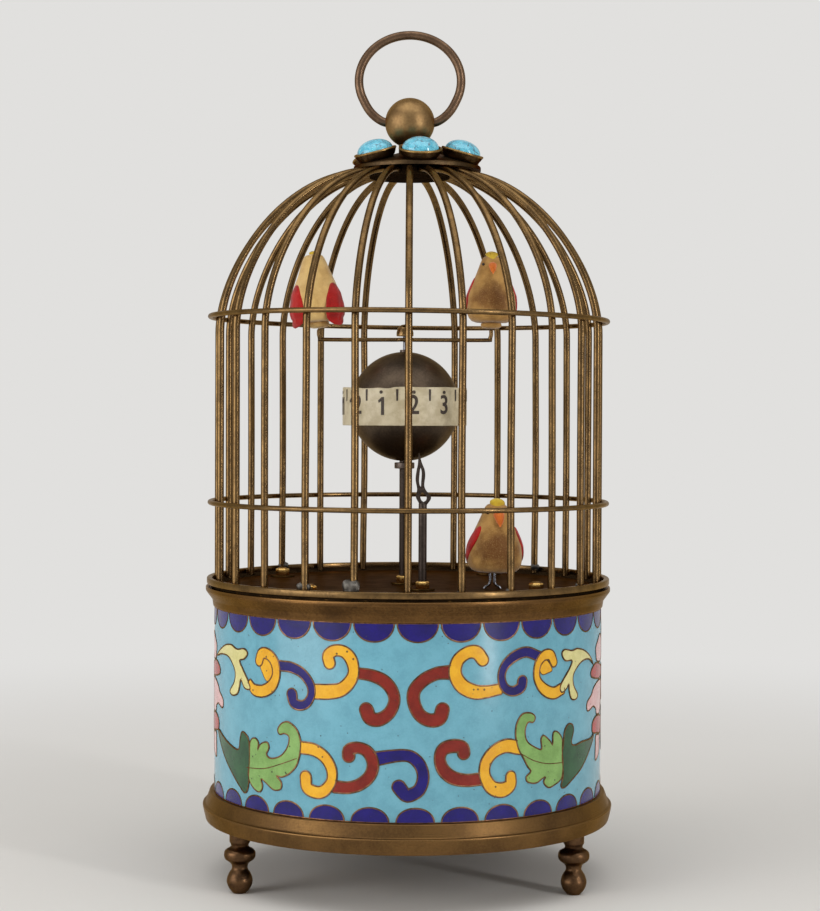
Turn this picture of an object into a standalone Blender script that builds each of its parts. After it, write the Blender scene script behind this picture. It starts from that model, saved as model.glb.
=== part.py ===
"""A birdcage clock: an enamelled drum with a clock movement in it, a wire cage over it, and in
the cage a globe with an hour band that turns past a fixed pointer, under a perch that rocks.

The origin is on the ground under the middle of the cage, +Z is up and the front looks to -Y.
"""

import math

import bmesh
import bpy
from mathutils import Matrix, Vector

MM = 0.001

# Facets round a large ring, a middling piece and a small one
RING_SIDES = 32
ROUND_SIDES = 16
SMALL_SIDES = 10

# Clearances
SEAT_GAP = 0.3 * MM  # between two pieces that rest on each other
RUN_GAP = 0.25 * MM  # around a shaft that turns

# Enamelled drum, bezel and floor; the drum carries what is over and under it
DRUM_RADIUS = 38.5 * MM
DRUM_WALL = 0.9 * MM
DRUM_HEIGHT = 36.0 * MM
BEZEL_HEIGHT = 3.9 * MM
BEZEL_FOOT_RADIUS = DRUM_RADIUS + 0.3 * MM
BEZEL_LIP_RADIUS = DRUM_RADIUS + 1.8 * MM
BEZEL_RIM = 1.3 * MM
BEZEL_LEDGE = 2.6 * MM
BEZEL_LEDGE_WIDTH = 2.4 * MM
FLOOR_THICKNESS = 1.2 * MM
FLOOR_RADIUS = BEZEL_LIP_RADIUS - BEZEL_RIM

# Base flange and its cover
FLANGE_RADIUS = DRUM_RADIUS + 2.3 * MM
FLANGE_HEIGHT = 5.6 * MM
FLANGE_STEP_HEIGHT = 3.0 * MM
FLANGE_TAPER = 1.1 * MM
FLANGE_WIDTH = 12.8 * MM
FLANGE_BORE_RADIUS = FLANGE_RADIUS - FLANGE_WIDTH
COVER_RADIUS = FLANGE_RADIUS - 6.8 * MM
COVER_THICKNESS = 1.2 * MM
COVER_RECESS = 2.3 * MM

# Feet
FOOT_HEIGHT = 11.4 * MM
FOOT_BALL_RADIUS = 2.5 * MM
FOOT_DISC_RADIUS = 2.9 * MM
FOOT_STUD_RADIUS = 0.8 * MM
FOOT_STUD_LENGTH = 2.6 * MM
FOOT_CIRCLE = FLANGE_RADIUS - 3.8 * MM
FOOT_ANGLES = {"foot_left": 210.0, "foot_right": 330.0, "foot_rear": 90.0}

# Wire cage
BAR_COUNT = 24
BAR_RADIUS = 0.7 * MM
BAR_CIRCLE = FLOOR_RADIUS - BAR_RADIUS - SEAT_GAP
BAR_STRAIGHT = 50.0 * MM
DOME_HEIGHT = 32.1 * MM
DOME_SHOULDER = 12.2 * MM
DOME_FLAT = 18.6 * MM
DOME_STEPS = 6
CAGE_RING_HEIGHT = 1.3 * MM
CAGE_RING_WIDTH = 1.1 * MM
HOOP_WIRE_RADIUS = 0.5 * MM
LOWER_HOOP_HEIGHT = 16.4 * MM  # both over the floor
UPPER_HOOP_HEIGHT = 52.8 * MM

# Crown, stones, finial and bail
HUB_RADIUS = 8.0 * MM
HUB_HEIGHT = 2.2 * MM
CROWN_RADIUS = 12.7 * MM
CROWN_OFFSET = 1.5 * MM
CROWN_FLAT_RADIUS = 4.2 * MM
CROWN_SLOPE = math.radians(17)
CROWN_THICKNESS = 0.8 * MM
STONE_COUNT = 6
STONE_FIRST_ANGLE = -86.5
STONE_CIRCLE = 9.5 * MM
STONE_RADIUS = 3.6 * MM
STONE_DOME = 3.1 * MM
CUP_WALL = 0.3 * MM
CUP_BASE = 0.5 * MM
CUP_HEIGHT = 1.4 * MM
FINIAL_RADIUS = 4.95 * MM
FINIAL_NECK_RADIUS = 2.2 * MM
FINIAL_NECK_HEIGHT = 1.46 * MM
BAIL_RING_RADIUS = 10.18 * MM
BAIL_RING_HEIGHT = 9.1 * MM
BAIL_WIRE_RADIUS = 0.87 * MM
BAIL_RISE = 8.3 * MM
BAIL_TAIL = 2.2 * MM

# Globe clock in the cage
CLOCK_OFFSET = -0.8 * MM
GLOBE_RADIUS = 10.9 * MM
GLOBE_WALL = 0.6 * MM
GLOBE_HEIGHT = 35.5 * MM  # middle of the globe over the floor
BAND_RADIUS = 12.4 * MM
BAND_HEIGHT = 7.6 * MM
BAND_THICKNESS = 0.7 * MM
BAND_WEB = 0.6 * MM
PIPE_RADIUS = 1.0 * MM
PIPE_BORE_RADIUS = 0.64 * MM
PIPE_COLLAR_RADIUS = 2.0 * MM
PIPE_COLLAR_HEIGHT = 1.2 * MM
NUT_HEIGHT = 1.4 * MM
NUT_EXTRA_RADIUS = 1.3 * MM

# Fixed pointer in front of the globe
POINTER_RADIUS = 0.8 * MM
POINTER_SIDE = 3.6 * MM  # to the right of the clock's axis
POINTER_REACH = 15.0 * MM  # in front of it
POINTER_ROD_HEIGHT = 17.0 * MM
POINTER_HAND_HEIGHT = 10.3 * MM
POINTER_HAND_THICKNESS = 0.5 * MM
POINTER_HAND_WIDTH = 1.0 * MM
POINTER_TENON = 1.0 * MM

# Perch and birds
PERCH_ARBOR_RADIUS = 0.38 * MM
PERCH_WIRE_RADIUS = 0.4 * MM
PERCH_ARM = 17.2 * MM
PERCH_BEND = 1.0 * MM
PERCH_CLEARANCE = 2.0 * MM  # perch wire over the top of the globe
PERCH_NUT_RADIUS = 1.7 * MM
PERCH_NUT_HEIGHT = 2.4 * MM
BIRD_RADIUS = 5.2 * MM
BIRD_HEIGHT = 14.5 * MM
WING_THICKNESS = 0.8 * MM
BEAK_LENGTH = 1.6 * MM
CREST_HEIGHT = 1.2 * MM
LOWER_BIRD_PLACE = Vector((16.5 * MM, -10.0 * MM))
LOWER_BIRD_LEG_HEIGHT = 3.0 * MM
LOWER_BIRD_LEG_RADIUS = 0.3 * MM

# Movement frame
PLATE_RADIUS = DRUM_RADIUS - 5.0 * MM
PLATE_THICKNESS = 1.2 * MM
BASE_SPACE = 2.7 * MM  # bottom plate over the flange
POST_CIRCLE = PLATE_RADIUS - 2.5 * MM
POST_RADIUS = 2.0 * MM
POST_STUD_RADIUS = 0.9 * MM
POST_ANGLES = (55.0, 145.0, 235.0, 325.0)
LAYER_GAP = 1.2 * MM  # between the layers of wheels

# Going train: teeth, modules and wheel thicknesses
BARREL_TEETH = 36
BARREL_MODULE = 0.8 * MM
BARREL_HEIGHT = 8.0 * MM
BARREL_WALL = 0.6 * MM
CENTRE_PINION_TEETH = 6
CENTRE_TEETH = 48
CENTRE_MODULE = 0.45 * MM
THIRD_PINION_TEETH = 6
THIRD_TEETH = 48
THIRD_MODULE = 0.36 * MM
ESCAPE_PINION_TEETH = 6
ESCAPE_TEETH = 15
ESCAPE_RADIUS = 5.5 * MM
ESCAPE_TOOTH_DEPTH = 1.6 * MM
PALLET_SPAN = 3.5  # pitches of the escape wheel between the two pallets
PALLET_WIDTH = 0.4 * MM
PALLET_LIFT = 0.1 * MM  # pallets over the tooth tips with the lever in the middle
FORK_LENGTH = 6.5 * MM
PIN_CIRCLE = 1.5 * MM
PIN_RADIUS = 0.25 * MM
BALANCE_RADIUS = 7.0 * MM
BALANCE_RIM = 0.9 * MM
BALANCE_THICKNESS = 1.0 * MM
HAIRSPRING_RADIUS = 4.6 * MM
HAIRSPRING_TURNS = 3
MAINSPRING_TURNS = 4
WHEEL_THICKNESS = 0.8 * MM
BARREL_ARBOR_RADIUS = 1.5 * MM
SLEEVE_WALL = 0.5 * MM
MINUTE_ARBOR_RADIUS = 0.6 * MM
TRAIN_ARBOR_RADIUS = 0.4 * MM

# Motion work between the top plate and the floor
CANNON_TEETH = 6
MOTION_TEETH = 24
MOTION_MODULE = 0.5 * MM
MOTION_PINION_TEETH = 8
HOUR_TEETH = 24
HOUR_MODULE = 0.6 * MM
MOTION_STUD_RADIUS = 0.7 * MM

# Plan of the movement about the clock's axis
BARREL_DIRECTION = math.radians(190)
ESCAPE_DIRECTION = math.radians(0)
BALANCE_DIRECTION = math.radians(110)
CENTRE_REACH = 12.5 * MM  # minute arbor from the clock's axis

# Winding and setting
RATCHET_TEETH = 14
RATCHET_RADIUS = 5.0 * MM
RATCHET_TOOTH_DEPTH = 0.8 * MM
RATCHET_THICKNESS = 1.1 * MM
KEY_WIDTH = 15.0 * MM
KEY_DROP = 5.0 * MM
KEY_HUB_HEIGHT = 2.0 * MM
KEY_THICKNESS = 1.4 * MM
KNOB_RADIUS = 3.5 * MM
KNOB_HEIGHT = 3.4 * MM

# Heights that follow
FLANGE_BOTTOM = FOOT_HEIGHT + SEAT_GAP
FLANGE_TOP = FLANGE_BOTTOM + FLANGE_HEIGHT
LEDGE_BOTTOM = FLANGE_BOTTOM + COVER_RECESS
COVER_TOP = LEDGE_BOTTOM - SEAT_GAP
COVER_BOTTOM = COVER_TOP - COVER_THICKNESS
DRUM_BOTTOM = FLANGE_TOP + SEAT_GAP
DRUM_TOP = DRUM_BOTTOM + DRUM_HEIGHT
BEZEL_BOTTOM = DRUM_TOP + SEAT_GAP
BEZEL_SHELF = BEZEL_BOTTOM + BEZEL_LEDGE
FLOOR_BOTTOM = BEZEL_SHELF + SEAT_GAP
FLOOR_TOP = FLOOR_BOTTOM + FLOOR_THICKNESS
CAGE_BOTTOM = FLOOR_TOP + SEAT_GAP
DOME_SPRING = FLOOR_TOP + BAR_STRAIGHT
DOME_TOP = DOME_SPRING + DOME_HEIGHT
GLOBE_MIDDLE = FLOOR_TOP + GLOBE_HEIGHT
GLOBE_TOP = GLOBE_MIDDLE + GLOBE_RADIUS
PERCH_LEVEL = GLOBE_TOP + PERCH_CLEARANCE + PERCH_WIRE_RADIUS
PLATE_LOW = FLANGE_TOP + BASE_SPACE
TRAIN_LOW = PLATE_LOW + PLATE_THICKNESS
BARREL_LEVEL = TRAIN_LOW + LAYER_GAP / 2
CENTRE_LEVEL = BARREL_LEVEL + BARREL_HEIGHT + LAYER_GAP
BALANCE_LEVEL = CENTRE_LEVEL + WHEEL_THICKNESS + LAYER_GAP
THIRD_LEVEL = BALANCE_LEVEL + BALANCE_THICKNESS + LAYER_GAP
ESCAPE_LEVEL = THIRD_LEVEL + WHEEL_THICKNESS + 2 * LAYER_GAP
PLATE_HIGH = ESCAPE_LEVEL + WHEEL_THICKNESS + 2 * LAYER_GAP
PLATE_TOP = PLATE_HIGH + PLATE_THICKNESS
MOTION_LEVEL = PLATE_TOP + LAYER_GAP
HOUR_LEVEL = MOTION_LEVEL + 2 * WHEEL_THICKNESS + LAYER_GAP
RATCHET_LEVEL = PLATE_LOW - SEAT_GAP - RATCHET_THICKNESS
KEY_TOP = COVER_BOTTOM - SEAT_GAP


def mesh_reach(teeth, other_teeth, module):
    """Distance between the axes of two wheels in mesh."""
    return module * (teeth + other_teeth) / 2


def tip_radius(teeth, module):
    return module * (teeth / 2 + 0.7)


def root_radius(teeth, module):
    return module * (teeth / 2 - 1.1)


def polar(radius, angle, middle=(0.0, 0.0)):
    return Vector((middle[0] + radius * math.cos(angle), middle[1] + radius * math.sin(angle)))


def third_corner(first, second, from_first, from_second, side):
    """The corner of a triangle at two given distances; side is 1 or -1 for left or right."""
    across = second - first
    length = across.length
    along = (from_first**2 - from_second**2 + length**2) / (2 * length)
    off = math.sqrt(from_first**2 - along**2)
    unit = across / length
    return first + unit * along + Vector((-unit.y, unit.x)) * off * side


def direction(first, second):
    return math.atan2(second.y - first.y, second.x - first.x)


PALLET_ANGLE = math.pi * PALLET_SPAN / ESCAPE_TEETH
ESCAPE_REACH = ESCAPE_RADIUS / math.cos(PALLET_ANGLE)
CLOCK = Vector((CLOCK_OFFSET, 0.0))
BARREL = polar(
    tip_radius(BARREL_TEETH, BARREL_MODULE) + PERCH_ARBOR_RADIUS + 2 * SEAT_GAP,
    BARREL_DIRECTION,
    CLOCK,
)
MINUTE = third_corner(
    CLOCK,
    BARREL,
    CENTRE_REACH,
    mesh_reach(BARREL_TEETH, CENTRE_PINION_TEETH, BARREL_MODULE),
    1,
)
ESCAPE = polar(ESCAPE_REACH, ESCAPE_DIRECTION, CLOCK)
THIRD = third_corner(
    MINUTE,
    ESCAPE,
    mesh_reach(CENTRE_TEETH, THIRD_PINION_TEETH, CENTRE_MODULE),
    mesh_reach(THIRD_TEETH, ESCAPE_PINION_TEETH, THIRD_MODULE),
    -1,
)
BALANCE = polar(FORK_LENGTH + PIN_CIRCLE, BALANCE_DIRECTION, CLOCK)
MOTION = third_corner(
    CLOCK,
    MINUTE,
    mesh_reach(HOUR_TEETH, MOTION_PINION_TEETH, HOUR_MODULE),
    mesh_reach(MOTION_TEETH, CANNON_TEETH, MOTION_MODULE),
    1,
)


# Materials

def finish(name, color, roughness, metallic=0.0):
    material = bpy.data.materials.new(name)
    material.use_nodes = True
    shader = material.node_tree.nodes["Principled BSDF"]
    shader.inputs["Base Color"].default_value = (*color, 1.0)
    shader.inputs["Roughness"].default_value = roughness
    shader.inputs["Metallic"].default_value = metallic
    return material


# Solids

def turned(profile, sides=ROUND_SIDES, ring=False):
    """A profile of (radius, height) spun about the vertical axis; a ring's profile is closed."""
    solid = bmesh.new()
    points = [solid.verts.new((radius, 0.0, height)) for radius, height in profile]
    ends = points[1:] + points[:1] if ring else points[1:]
    edges = [solid.edges.new(pair) for pair in zip(points, ends)]
    bmesh.ops.spin(
        solid,
        geom=points + edges,
        cent=(0, 0, 0),
        axis=(0, 0, 1),
        angle=2 * math.pi,
        steps=sides,
        use_merge=True,
    )
    bmesh.ops.remove_doubles(solid, verts=solid.verts[:], dist=1e-7)
    bmesh.ops.recalc_face_normals(solid, faces=solid.faces[:])
    return solid


def tube(outer, inner, low, high, sides=ROUND_SIDES):
    return turned([(inner, low), (outer, low), (outer, high), (inner, high)], sides, ring=True)


def rod(radius, low, high, sides=SMALL_SIDES):
    return turned([(0, low), (radius, low), (radius, high), (0, high)], sides)


def extruded(loops, low, high):
    """A flat plate: the first loop is its outline and the others are holes in it."""
    solid = bmesh.new()
    for loop in loops:
        corners = [solid.verts.new((x, y, low)) for x, y in loop]
        for pair in zip(corners, corners[1:] + corners[:1]):
            solid.edges.new(pair)
    bmesh.ops.triangle_fill(solid, edges=solid.edges[:], use_beauty=True)
    raised = bmesh.ops.extrude_face_region(solid, geom=solid.faces[:])
    corners = [part for part in raised["geom"] if isinstance(part, bmesh.types.BMVert)]
    bmesh.ops.translate(solid, verts=corners, vec=(0, 0, high - low))
    bmesh.ops.recalc_face_normals(solid, faces=solid.faces[:])
    return solid


def placed(solid, matrix):
    bmesh.ops.transform(solid, matrix=matrix, verts=solid.verts[:])
    return solid


def shifted(solid, x, y, z=0.0):
    return placed(solid, Matrix.Translation((x, y, z)))


def group(solids):
    """Several separate solids as one."""
    whole = bmesh.new()
    for solid in solids:
        mesh = bpy.data.meshes.new("part")
        solid.to_mesh(mesh)
        solid.free()
        whole.from_mesh(mesh)
        bpy.data.meshes.remove(mesh)
    return whole


def circle(radius, sides=SMALL_SIDES, middle=(0.0, 0.0), start=0.0):
    step = 2 * math.pi / sides
    return [tuple(polar(radius, start + step * i, middle)) for i in range(sides)]


def toothed(teeth, module, towards=0.0, tooth=True):
    """A wheel's outline with a tooth, or a gap, centred on the direction towards."""
    pitch = 2 * math.pi / teeth
    start = towards if tooth else towards + pitch / 2
    root, tip = root_radius(teeth, module), tip_radius(teeth, module)
    shape = ((root, -0.34), (tip, 0.0), (root, 0.34))
    return [
        tuple(polar(radius, start + pitch * (i + share)))
        for i in range(teeth)
        for radius, share in shape
    ]


def crossed(rim, hub, spoke, spokes=3, steps=3):
    """Cut-outs between the spokes of a wheel, from its hub's radius to its rim's."""
    loops = []
    for i in range(spokes):
        middle = 2 * math.pi * (i + 0.5) / spokes
        half = math.pi / spokes
        outer = half - math.asin(spoke / rim)
        inner = half - math.asin(spoke / hub)
        loop = [polar(rim, middle - outer + 2 * outer * k / steps) for k in range(steps + 1)]
        loop += [polar(hub, middle + inner), polar(hub, middle - inner)]
        loops.append([tuple(point) for point in loop])
    return loops


def spiral(inner, outer, turns, width, low, high, steps=10):
    """A flat strip wound from the inner to the outer radius."""
    count = turns * steps
    near, far = [], []
    for i in range(count + 1):
        angle = 2 * math.pi * i / steps
        radius = inner + (outer - inner) * i / count
        near.append(tuple(polar(radius, angle)))
        far.append(tuple(polar(radius + width, angle)))
    return extruded([near + far[::-1]], low, high)


# Objects

def take(name, data, material, at, parent):
    piece = bpy.data.objects.new(name, data)
    if material:
        data.materials.append(material)
    bpy.context.collection.objects.link(piece)
    piece.location = at
    piece.parent = parent
    return piece


def helper(host, operation, solid):
    """A cutter or an added solid, joined to its host by a Boolean."""
    mesh = bpy.data.meshes.new(f"{host.name}_{operation.lower()}")
    solid.to_mesh(mesh)
    solid.free()
    tool = take(mesh.name, mesh, None, host.location, host.parent)
    tool.hide_render = True
    tool.display_type = "WIRE"
    modifier = host.modifiers.new(operation.title(), "BOOLEAN")
    modifier.operation = operation
    modifier.object = tool


def node(name, solid, material, at=(0.0, 0.0, 0.0), parent=None, cut=(), add=()):
    """One named piece, built about its own axis and placed at it."""
    mesh = bpy.data.meshes.new(name)
    solid.to_mesh(mesh)
    solid.free()
    mesh.shade_smooth()
    mesh.set_sharp_from_angle(angle=math.radians(35))
    piece = take(name, mesh, material, at, parent)
    for extra in add:
        helper(piece, "UNION", extra)
    for hole in cut:
        helper(piece, "DIFFERENCE", hole)
    return piece


def wire_curve(name, paths, radius, closed=False, fine=1):
    """Round wires along paths of points."""
    curve = bpy.data.curves.new(name, "CURVE")
    curve.dimensions = "3D"
    curve.bevel_depth = radius
    curve.bevel_resolution = fine
    curve.use_fill_caps = True
    for path in paths:
        spline = curve.splines.new("POLY")
        spline.points.add(len(path) - 1)
        spline.use_cyclic_u = closed
        for point, place in zip(spline.points, path):
            point.co = (*place, 1.0)
    return curve


def wire(name, path, radius, material, at=(0.0, 0.0, 0.0), parent=None, closed=False, fine=1):
    return take(name, wire_curve(name, [path], radius, closed, fine), material, at, parent)


def wires(paths, radius):
    """The same wires as a mesh, for a Boolean."""
    guide = bpy.data.objects.new("guide", wire_curve("guide", paths, radius))
    mesh = bpy.data.meshes.new_from_object(guide)
    bpy.data.objects.remove(guide)
    solid = bmesh.new()
    solid.from_mesh(mesh)
    bpy.data.meshes.remove(mesh)
    bmesh.ops.remove_doubles(solid, verts=solid.verts[:], dist=1e-7)
    bmesh.ops.recalc_face_normals(solid, faces=solid.faces[:])
    return solid


def axis(name, place, height=0.0):
    """The empty on a moving body's axis, which carries the body's pieces."""
    empty = bpy.data.objects.new(name, None)
    bpy.context.collection.objects.link(empty)
    empty.location = (place[0], place[1], height)
    return empty


# Case

def foot_profile():
    ball, disc, top = FOOT_BALL_RADIUS, FOOT_DISC_RADIUS, FOOT_HEIGHT
    neck = 0.6 * ball
    return [
        (0, 0),
        (0.5 * ball, 0),
        (0.85 * ball, 0.09 * top),
        (ball, 0.21 * top),
        (0.85 * ball, 0.33 * top),
        (neck, 0.42 * top),
        (0.72 * ball, 0.51 * top),
        (disc, 0.59 * top),
        (disc, 0.71 * top),
        (0.68 * ball, 0.79 * top),
        (0.8 * ball, 0.87 * top),
        (0.8 * ball, top),
        (FOOT_STUD_RADIUS, top),
        (FOOT_STUD_RADIUS, top + FOOT_STUD_LENGTH),
        (0, top + FOOT_STUD_LENGTH),
    ]


def make_feet(brass):
    for name, angle in FOOT_ANGLES.items():
        place = polar(FOOT_CIRCLE, math.radians(angle))
        node(name, turned(foot_profile(), 8), brass, (*place, 0.0))


def post_places():
    return [polar(POST_CIRCLE, math.radians(angle), CLOCK) for angle in POST_ANGLES]


def make_base(brass, dark_brass):
    low, step, top = FLANGE_BOTTOM, FLANGE_BOTTOM + FLANGE_STEP_HEIGHT, FLANGE_TOP
    recess = COVER_RADIUS + SEAT_GAP
    band = FLANGE_RADIUS - FLANGE_TAPER / 2
    profile = [
        (recess, low),
        (FLANGE_RADIUS - 0.6 * MM, low),
        (FLANGE_RADIUS, step - 0.4 * MM),
        (FLANGE_RADIUS, step),
        (band, step + 0.1 * MM),
        (band - 0.8 * FLANGE_TAPER, top),
        (FLANGE_BORE_RADIUS, top),
        (FLANGE_BORE_RADIUS, LEDGE_BOTTOM),
        (recess, LEDGE_BOTTOM),
    ]
    stud_hole = FOOT_STUD_RADIUS + SEAT_GAP
    stud_end = FOOT_HEIGHT + FOOT_STUD_LENGTH + SEAT_GAP
    holes = [
        shifted(rod(stud_hole, low - MM, stud_end, 6), *polar(FOOT_CIRCLE, math.radians(angle)))
        for angle in FOOT_ANGLES.values()
    ]
    post_hole = POST_STUD_RADIUS + SEAT_GAP
    post_end = FLANGE_TOP - 0.8 * (FLANGE_TOP - LEDGE_BOTTOM)
    holes += [
        shifted(rod(post_hole, post_end, FLANGE_TOP + MM, 6), *place) for place in post_places()
    ]
    node("base_flange", turned(profile, RING_SIDES, ring=True), brass, cut=[group(holes)])

    loops = [circle(COVER_RADIUS, RING_SIDES)]
    loops.append(circle(BARREL_ARBOR_RADIUS + 2 * RUN_GAP, SMALL_SIDES, BARREL))
    loops.append(circle(MINUTE_ARBOR_RADIUS + 2 * RUN_GAP, SMALL_SIDES, MINUTE))
    node("bottom_cover", extruded(loops, COVER_BOTTOM, COVER_TOP), dark_brass)


def make_drum(enamel, brass, dark_brass):
    wall = tube(DRUM_RADIUS, DRUM_RADIUS - DRUM_WALL, DRUM_BOTTOM, DRUM_TOP, RING_SIDES)
    node("enamel_drum", wall, enamel)

    top = BEZEL_BOTTOM + BEZEL_HEIGHT
    rebate = FLOOR_RADIUS + SEAT_GAP
    profile = [
        (rebate - BEZEL_LEDGE_WIDTH, BEZEL_BOTTOM),
        (BEZEL_FOOT_RADIUS, BEZEL_BOTTOM),
        (BEZEL_FOOT_RADIUS + 0.2 * MM, BEZEL_BOTTOM + 0.35 * BEZEL_HEIGHT),
        (BEZEL_LIP_RADIUS, top - 0.2 * BEZEL_HEIGHT),
        (BEZEL_LIP_RADIUS, top),
        (rebate, top),
        (rebate, BEZEL_SHELF),
        (rebate - BEZEL_LEDGE_WIDTH, BEZEL_SHELF),
    ]
    node("upper_bezel", turned(profile, RING_SIDES, ring=True), brass)

    holes = [circle(FLOOR_RADIUS, RING_SIDES), circle(PIPE_RADIUS + SEAT_GAP, middle=CLOCK)]
    holes.append(circle(POINTER_RADIUS + SEAT_GAP, 8, pointer_place()))
    holes += [circle(POST_STUD_RADIUS + SEAT_GAP, 8, place) for place in post_places()]
    holes += [circle(LOWER_BIRD_LEG_RADIUS + SEAT_GAP, 6, place) for place in leg_places()]
    node("floor_plate", extruded(holes, FLOOR_BOTTOM, FLOOR_TOP), dark_brass)


# Wire cage

def bar_path(angle):
    """One bar: up from the floor, then a cubic curve over the dome to the hub."""
    start = Vector((BAR_CIRCLE, DOME_SPRING))
    end = Vector((HUB_RADIUS - BAR_RADIUS, DOME_TOP))
    lift = start + Vector((0, DOME_SHOULDER))
    flat = end + Vector((DOME_FLAT, 0))
    path = [(BAR_CIRCLE, CAGE_BOTTOM)]
    for i in range(DOME_STEPS + 1):
        t = i / DOME_STEPS
        s = 1 - t
        place = start * s**3 + lift * 3 * s * s * t + flat * 3 * s * t * t + end * t**3
        path.append(tuple(place))
    return [(*polar(radius, angle), height) for radius, height in path]


def bar_reach(level):
    """How far out a bar's middle is at a height."""
    points = [(math.hypot(x, y), z) for x, y, z in bar_path(0)]
    for (r0, z0), (r1, z1) in zip(points, points[1:]):
        if z0 <= level <= z1:
            return r0 + (r1 - r0) * (level - z0) / (z1 - z0)
    return BAR_CIRCLE


def level_circle(radius, height):
    return [(*spot, height) for spot in circle(radius, RING_SIDES)]


def make_cage(brass):
    """The bars are soldered into the hub under the crown; the rings sit on them."""
    step = 2 * math.pi / BAR_COUNT
    front = -math.pi / 2
    paths = [bar_path(front + step * i) for i in range(BAR_COUNT)]
    top = DOME_TOP + BAR_RADIUS + 0.3 * MM
    hub = [
        (0, top - HUB_HEIGHT),
        (0.8 * HUB_RADIUS, top - HUB_HEIGHT),
        (HUB_RADIUS, top - 0.8 * HUB_HEIGHT),
        (HUB_RADIUS, top),
        (0, top),
    ]
    node("cage_bars", turned(hub, 24), brass, add=[wires(paths, BAR_RADIUS)])
    inner = BAR_CIRCLE + BAR_RADIUS + SEAT_GAP
    top = CAGE_BOTTOM + CAGE_RING_HEIGHT
    ring = tube(inner + CAGE_RING_WIDTH, inner, CAGE_BOTTOM, top, RING_SIDES)
    node("cage_base_ring", ring, brass)
    heights = {"lower_hoop": LOWER_HOOP_HEIGHT, "upper_hoop": UPPER_HOOP_HEIGHT}
    for name, height in heights.items():
        level = FLOOR_TOP + height
        reach = bar_reach(level) + BAR_RADIUS + SEAT_GAP + HOOP_WIRE_RADIUS
        wire(name, level_circle(reach, level), HOOP_WIRE_RADIUS, brass, closed=True)


# Crown

def bar_height(radius):
    """Middle of a bar where it crosses a radius on the dome."""
    points = [(math.hypot(x, y), z) for x, y, z in bar_path(0)][1:]
    for (r0, z0), (r1, z1) in zip(points, points[1:]):
        if r1 <= radius <= r0:
            return z0 + (z1 - z0) * (r0 - radius) / (r0 - r1)
    return DOME_TOP


CROWN_RIM = bar_height(CROWN_RADIUS - CROWN_OFFSET) + BAR_RADIUS + SEAT_GAP


def crown_height(radius):
    """Top of the conical plate at a radius about its own middle, level inside its flat."""
    fall = (CROWN_RADIUS - max(radius, CROWN_FLAT_RADIUS)) * math.tan(CROWN_SLOPE)
    return CROWN_RIM + CROWN_THICKNESS + fall


FINIAL_SEAT = crown_height(FINIAL_NECK_RADIUS) + SEAT_GAP
FINIAL_MIDDLE = FINIAL_SEAT + FINIAL_NECK_HEIGHT + math.sqrt(
    FINIAL_RADIUS**2 - FINIAL_NECK_RADIUS**2
)


def stone_frames():
    for i in range(STONE_COUNT):
        angle = math.radians(STONE_FIRST_ANGLE + 360 * i / STONE_COUNT)
        turn = Matrix.Translation((CROWN_OFFSET, 0, 0)) @ Matrix.Rotation(angle, 4, "Z")
        turn @= Matrix.Translation((STONE_CIRCLE, 0, crown_height(STONE_CIRCLE)))
        yield turn @ Matrix.Rotation(CROWN_SLOPE, 4, "Y")


def make_crown(brass, turquoise):
    rim, thick = CROWN_RIM, CROWN_THICKNESS
    flat = CROWN_FLAT_RADIUS
    rise = crown_height(flat) - rim - thick
    plate = [
        (0, rim + rise),
        (flat, rim + rise),
        (CROWN_RADIUS, rim),
        (CROWN_RADIUS, rim + thick),
        (flat, rim + thick + rise),
        (0, rim + thick + rise),
    ]
    bore = rod(0.5 * FINIAL_NECK_RADIUS + SEAT_GAP, rim, rim + 2 * thick + rise, 12)

    cup_radius = STONE_RADIUS + SEAT_GAP + CUP_WALL
    cup = [
        (0, -0.5 * CROWN_THICKNESS),
        (cup_radius, -0.5 * CROWN_THICKNESS),
        (cup_radius, CUP_HEIGHT),
        (cup_radius - CUP_WALL, CUP_HEIGHT),
        (cup_radius - CUP_WALL, CUP_BASE),
        (0, CUP_BASE),
    ]
    seat = SEAT_GAP + CUP_BASE
    stone = [(0, seat), (STONE_RADIUS, seat), (STONE_RADIUS, seat + 0.25 * STONE_DOME)]
    for share in (0.5, 1.0):
        bend = share * math.pi / 2
        height = seat + STONE_DOME * (0.25 + 0.75 * math.sin(bend))
        stone.append((STONE_RADIUS * math.cos(bend) if share < 1 else 0, height))
    cups = [placed(turned(cup, 8), frame) for frame in stone_frames()]
    dish = shifted(turned(plate, 24), CROWN_OFFSET, 0)
    node("crown_plate", dish, brass, cut=[bore], add=[group(cups)])
    for i, frame in enumerate(stone_frames(), 1):
        node(f"cabochon_{i}", placed(turned(stone, SMALL_SIDES), frame), turquoise)


def make_finial(brass):
    neck, foot = FINIAL_NECK_RADIUS, FINIAL_SEAT
    low = math.asin((FINIAL_MIDDLE - foot - FINIAL_NECK_HEIGHT) / FINIAL_RADIUS)
    screw = 0.5 * neck
    profile = [(0, foot - 1.2 * MM), (screw, foot - 1.2 * MM), (screw, foot), (neck, foot)]
    steps = 7
    for i in range(steps + 1):
        lift = -low + (math.pi / 2 + low) * i / steps
        across = FINIAL_RADIUS * math.cos(lift) if i < steps else 0
        profile.append((across, FINIAL_MIDDLE + FINIAL_RADIUS * math.sin(lift)))
    hole = rod(BAIL_WIRE_RADIUS + SEAT_GAP, -2 * FINIAL_RADIUS, 2 * FINIAL_RADIUS, 8)
    placed(hole, Matrix.Rotation(math.pi / 2, 4, "Y"))
    shifted(hole, 0, 0, FINIAL_MIDDLE)
    node("finial_ball", turned(profile, 12), brass, cut=[hole])


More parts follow.
